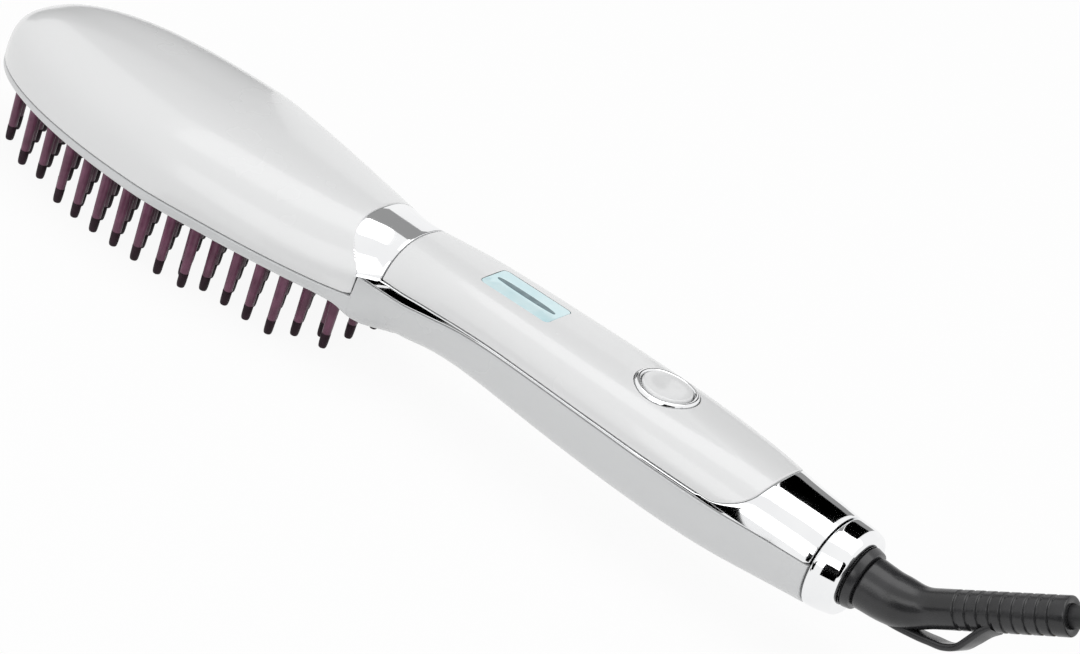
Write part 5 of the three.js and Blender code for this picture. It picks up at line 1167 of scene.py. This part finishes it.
def make_bed():
    front = HEAD_WIDEST_X - HEAD_REACH + RIM_WALL + SEAM
    xs = front + (BED_REAR_X - front) * (1 - np.cos(np.linspace(0, math.pi, 121))) / 2
    half = bed_half(xs, BED_REAR_X, RIM_WALL + SEAM)
    outline = [*zip(xs, -half), *zip(xs[-2:0:-1], half[-2:0:-1])]
    plate = add_mesh("pin_bed_plate", prism(outline, BED_BOTTOM_Z, BED_BOTTOM_Z + BED_THICK), PLUM,
                     ["heated_pin_bed"])
    cut(plate, [prism(circle(x, y, SCREW_RADIUS + SEAM, 32), BED_BOTTOM_Z - 2, PARTING_Z)
                for x, y in head_screw_places])
    places = pin_places()
    joint = shaft_radius(TIP_LENGTH)
    tip = [*TIP_END, (joint + TIP_STEP, TIP_LENGTH - TIP_EDGE), (joint, TIP_LENGTH)]
    add_mesh("pin_tips", many(tip, places), TIP, ["heated_pin_bed"], sharp=SHARP_TUBE, weld=False)
    root = [(joint - TIP_STEP, TIP_LENGTH - 2 * TIP_EDGE), (joint, TIP_LENGTH),
            *((shaft_radius(z), z) for z in (SHAFT_MIDDLE_Z, BED_BOTTOM_Z - 1)),
            *((PIN_ROOT_RADIUS + wider, BED_BOTTOM_Z + up) for wider, up in PIN_FOOT)]
    add_mesh("pin_shafts", many(root, places), PLUM, ["heated_pin_bed"], sharp=SHARP_TUBE, weld=False)


make_bed()

# ---- Strain relief and hanging loop

RELIEF_SIDES = 48
RELIEF_EDGE = 0.5
RELIEF_BORE_DEPTH = 2
RELIEF_BORE_GAP = 0.08
RELIEF_SLIMMING = 0.4
RELIEF_BORE_EDGE = 0.2
RIB_LEAD = 0.2
GROOVE_SLOPE = 0.35
LOOP_CORNER = 0.75


def relief_radius(s):
    taper_start = RELIEF_TAPER_END - RELIEF_TAPER_LENGTH
    slim = RELIEF_BASE_RADIUS - RELIEF_SLIMMING * min(s / taper_start, 1)
    share = min(max((s - taper_start) / RELIEF_TAPER_LENGTH, 0), 1)
    radius = slim + (RELIEF_END_RADIUS - slim) * (1 - math.cos(math.pi * share)) / 2
    if RIBS_START <= s < RIBS_START + RIB_COUNT * RIB_PITCH:
        within = (s - RIBS_START) % RIB_PITCH
        share = min(max(min(within, RIB_PITCH - RIB_LENGTH - within) / GROOVE_SLOPE, 0), 1)
        radius -= GROOVE_DEPTH * share * share * (3 - 2 * share)
    return radius


def make_relief():
    far, deep = lip(RELIEF_EDGE)
    stations = [*zip(far, relief_radius(0) - deep)]
    ribs = np.arange(RIBS_START, RIBS_START + RIB_COUNT * RIB_PITCH, RIB_PITCH / 20)
    plain = np.linspace(RELIEF_EDGE, RIBS_START - RIB_LEAD, 34)[1:]
    stations += [(s, relief_radius(s)) for s in [*plain, *ribs]]
    stations += [*zip(RELIEF_LENGTH - far[::-1], RELIEF_END_RADIUS - deep[::-1])]
    bore = CORD_DIAMETER / 2 + RELIEF_BORE_GAP
    stations += [(RELIEF_LENGTH, bore + RELIEF_BORE_EDGE), (RELIEF_LENGTH - RELIEF_BORE_EDGE, bore),
                 (RELIEF_LENGTH - RELIEF_BORE_DEPTH, bore)]
    rings = []
    for s, radius in stations:
        point, along = relief_at(s)
        rings.append(ring(point, [0, 1, 0], [-along[2], 0, along[0]], radius, RELIEF_SIDES))
    add_mesh("relief_sleeve", capped_tube(rings), RUBBER, ["strain_relief"], "swivel",
             sharp=SHARP_CORD,
             weld=False)


def make_loop():
    t = np.linspace(0, len(LOOP_LINE) - 1, 90)
    places, drops, turns = (through([[i, row[k]] for i, row in enumerate(LOOP_LINE)], t) for k in range(3))
    line, outward = [], []
    for s, drop, turn in zip(places, drops, np.radians(turns)):
        point, along = relief_at(float(s))
        out = np.array([along[2], 0, -along[0]]) * math.cos(turn) - np.array([0, 1, 0]) * math.sin(turn)
        line.append(point + drop * out)
        outward.append(out)
    ways = np.gradient(line, axis=0)
    ways /= np.linalg.norm(ways, axis=1, keepdims=True)
    outline = np.array(rounded_rectangle(0, LOOP_THICK / 2, LOOP_WIDTH / 2, LOOP_CORNER, 5))
    rings = []
    for point, way, out in zip(line, ways, outward):
        across = np.cross(way, out)
        across /= np.linalg.norm(across)
        rings.append(point + np.outer(outline[:, 0], np.cross(across, way)) + np.outer(outline[:, 1], across))
    add_mesh("hanging_loop", capped_tube(rings), RUBBER, ["strain_relief"], "swivel",
             sharp=SHARP_TUBE,
             weld=False)


make_relief()
make_loop()

# ---- Finishes of the CAD nodes that stay, by their names without numbers

KEPT_FINISHES = {
    STEEL: ["heater_clamp", "clamp_screw", "board_screw", "tact_switch"],
    ALUMINIUM: ["heating_plate"],
    CERAMIC: ["heating_element", "insulation_sheet", "temperature_sensor", "backlight_panel"],
    SCREEN: ["lcd_glass"],
    BLACK: ["lcd_frame", "switch_plunger", "thermal_cutout", "smoothing_capacitor", "triac", "control_chip", "buzzer",
            "swivel_bearing", "contact_carrier", "filter_capacitor"],
    BOARD: ["main_board"],
    WIRE: ["heater_wire", "mains_wire"],
    BRASS: ["slip_ring", "contact_brush"],
}
for name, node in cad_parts.items():
    for material, names in KEPT_FINISHES.items():
        if name.rstrip("_123") in names:
            node.material_slots[0].material = material

# ---- Floor, lights and backdrop

WHITE_LIGHT = (1, 1, 1, 1)
WORLD_LIGHT = 0.58
FLOOR_HALF = 6
FLOOR_COLOUR = (0.86, 0.86, 0.86, 1)
FLOOR_GLOW = 0.93
LOW_CARD_Z = 1


def glossy_or_camera(tree):
    """1 for what the camera sees straight, in a mirror or through glass, else 0."""
    rays = add_node(tree, "ShaderNodeLightPath").outputs
    seen = rays["Is Camera Ray"]
    for ray in ("Is Glossy Ray", "Is Transmission Ray"):
        seen = add_node(tree, "ShaderNodeMath", {0: seen, 1: rays[ray]}, "MAXIMUM").outputs[0]
    return seen


def make_world():
    world = bpy.data.worlds.new("studio")
    tree = empty_tree(world)
    lighting = add_node(tree, "ShaderNodeBackground", {0: WHITE_LIGHT, 1: WORLD_LIGHT})
    seen = add_node(tree, "ShaderNodeBackground", {0: WHITE_LIGHT, 1: 1})
    mix = add_node(tree, "ShaderNodeMixShader", {0: glossy_or_camera(tree), 1: lighting, 2: seen})
    add_node(tree, "ShaderNodeOutputWorld", {0: mix})
    bpy.context.scene.world = world


def make_floor():
    data = bpy.data.meshes.new("floor")
    corners = [(FLOOR_HALF * x, FLOOR_HALF * y, 0) for x, y in ((-1, -1), (1, -1), (1, 1), (-1, 1))]
    data.from_pydata(corners, [], [(0, 1, 2, 3)])
    floor = link("floor", data)
    material = bpy.data.materials.new("floor")
    tree = empty_tree(material)
    diffuse = add_node(tree, "ShaderNodeBsdfDiffuse", {0: FLOOR_COLOUR})
    glow = add_node(tree, "ShaderNodeEmission", {0: WHITE_LIGHT, 1: 1})
    share = add_node(tree, "ShaderNodeMath", {0: glossy_or_camera(tree), 1: FLOOR_GLOW}, "MULTIPLY")
    mix = add_node(tree, "ShaderNodeMixShader", {0: share, 1: diffuse, 2: glow})
    add_node(tree, "ShaderNodeOutputMaterial", {0: mix})
    data.materials.append(material)


# Dark and grey cards that only reflections show, for the patches in the chrome: name, y, glow, x and z of the corners
REFLECTION_CARDS = [
    ("near_card", -120, 0, [(100, 2), (256, 2), (256, 76), (250, 58), (235, 38), (215, 31), (150, 27), (100, 24)]),
    ("near_ring_card", -120, 0, [(278, 2), (330, 2), (330, 70), (278, 70)]),
    ("near_right_card", -300, 0, [(380, 20), (900, 20), (900, 330), (380, 330)]),
    ("far_left_card", 300, 0, [(-700, 20), (-90, 20), (-90, 225), (-700, 225)]),
    ("far_tail_card", 300, 0, [(95, 170), (235, 170), (235, 720), (95, 720)]),
    ("far_tail_edge_card", 300, 0.3, [(95, 60), (235, 60), (235, 170), (95, 170)]),
    ("far_collar_card", 300, 0.33, [(-380, 226), (70, 226), (70, 800), (-380, 800)]),
]
# The same, lying just over the floor: name, glow, x and y of the corners
LOW_CARDS = [
    ("low_neck_card", 0, [(60, -45), (134, -45), (134, -100), (60, -100)]),
    ("low_neck_edge_card", 0.25, [(134, -60), (143, -60), (143, -105), (134, -105)]),
    ("low_tail_card", 0, [(206, -70), (245, -70), (245, -119), (206, -119)]),
]


def reflection_card(name, glow, corners):
    card = link(name, new_mesh(name, corners, [tuple(range(len(corners)))]))
    material = bpy.data.materials.new(name)
    tree = empty_tree(material)
    emission = add_node(tree, "ShaderNodeEmission", {1: glow})
    add_node(tree, "ShaderNodeOutputMaterial", {0: emission})
    card.data.materials.append(material)
    card.visible_camera = card.visible_diffuse = card.visible_transmission = False
    card.visible_volume_scatter = card.visible_shadow = False


def area_light(name, place, target, size, power):
    data = bpy.data.lights.new(name, "AREA")
    data.shape = "RECTANGLE"
    data.size, data.size_y = size
    data.energy = power
    light = link(name, data)
    light.location = place
    light.rotation_euler = (Vector(target) - Vector(place)).to_track_quat("-Z", "Y").to_euler()


make_world()
make_floor()
area_light("overhead_softbox", (0.0, 0.15, 1.5), (0, 0, 0), (1.6, 1.2), 8.5)
area_light("near_softbox", (0.1, -1.4, 0.6), (0, 0, 0.03), (1.2, 0.9), 5)
for name, y, glow, corners in REFLECTION_CARDS:
    reflection_card(name, glow, [(x, y, z) for x, z in corners])
for name, glow, corners in LOW_CARDS:
    reflection_card(name, glow, [(x, y, LOW_CARD_Z) for x, y in corners])

bpy.context.scene.view_settings.view_transform = "Standard"
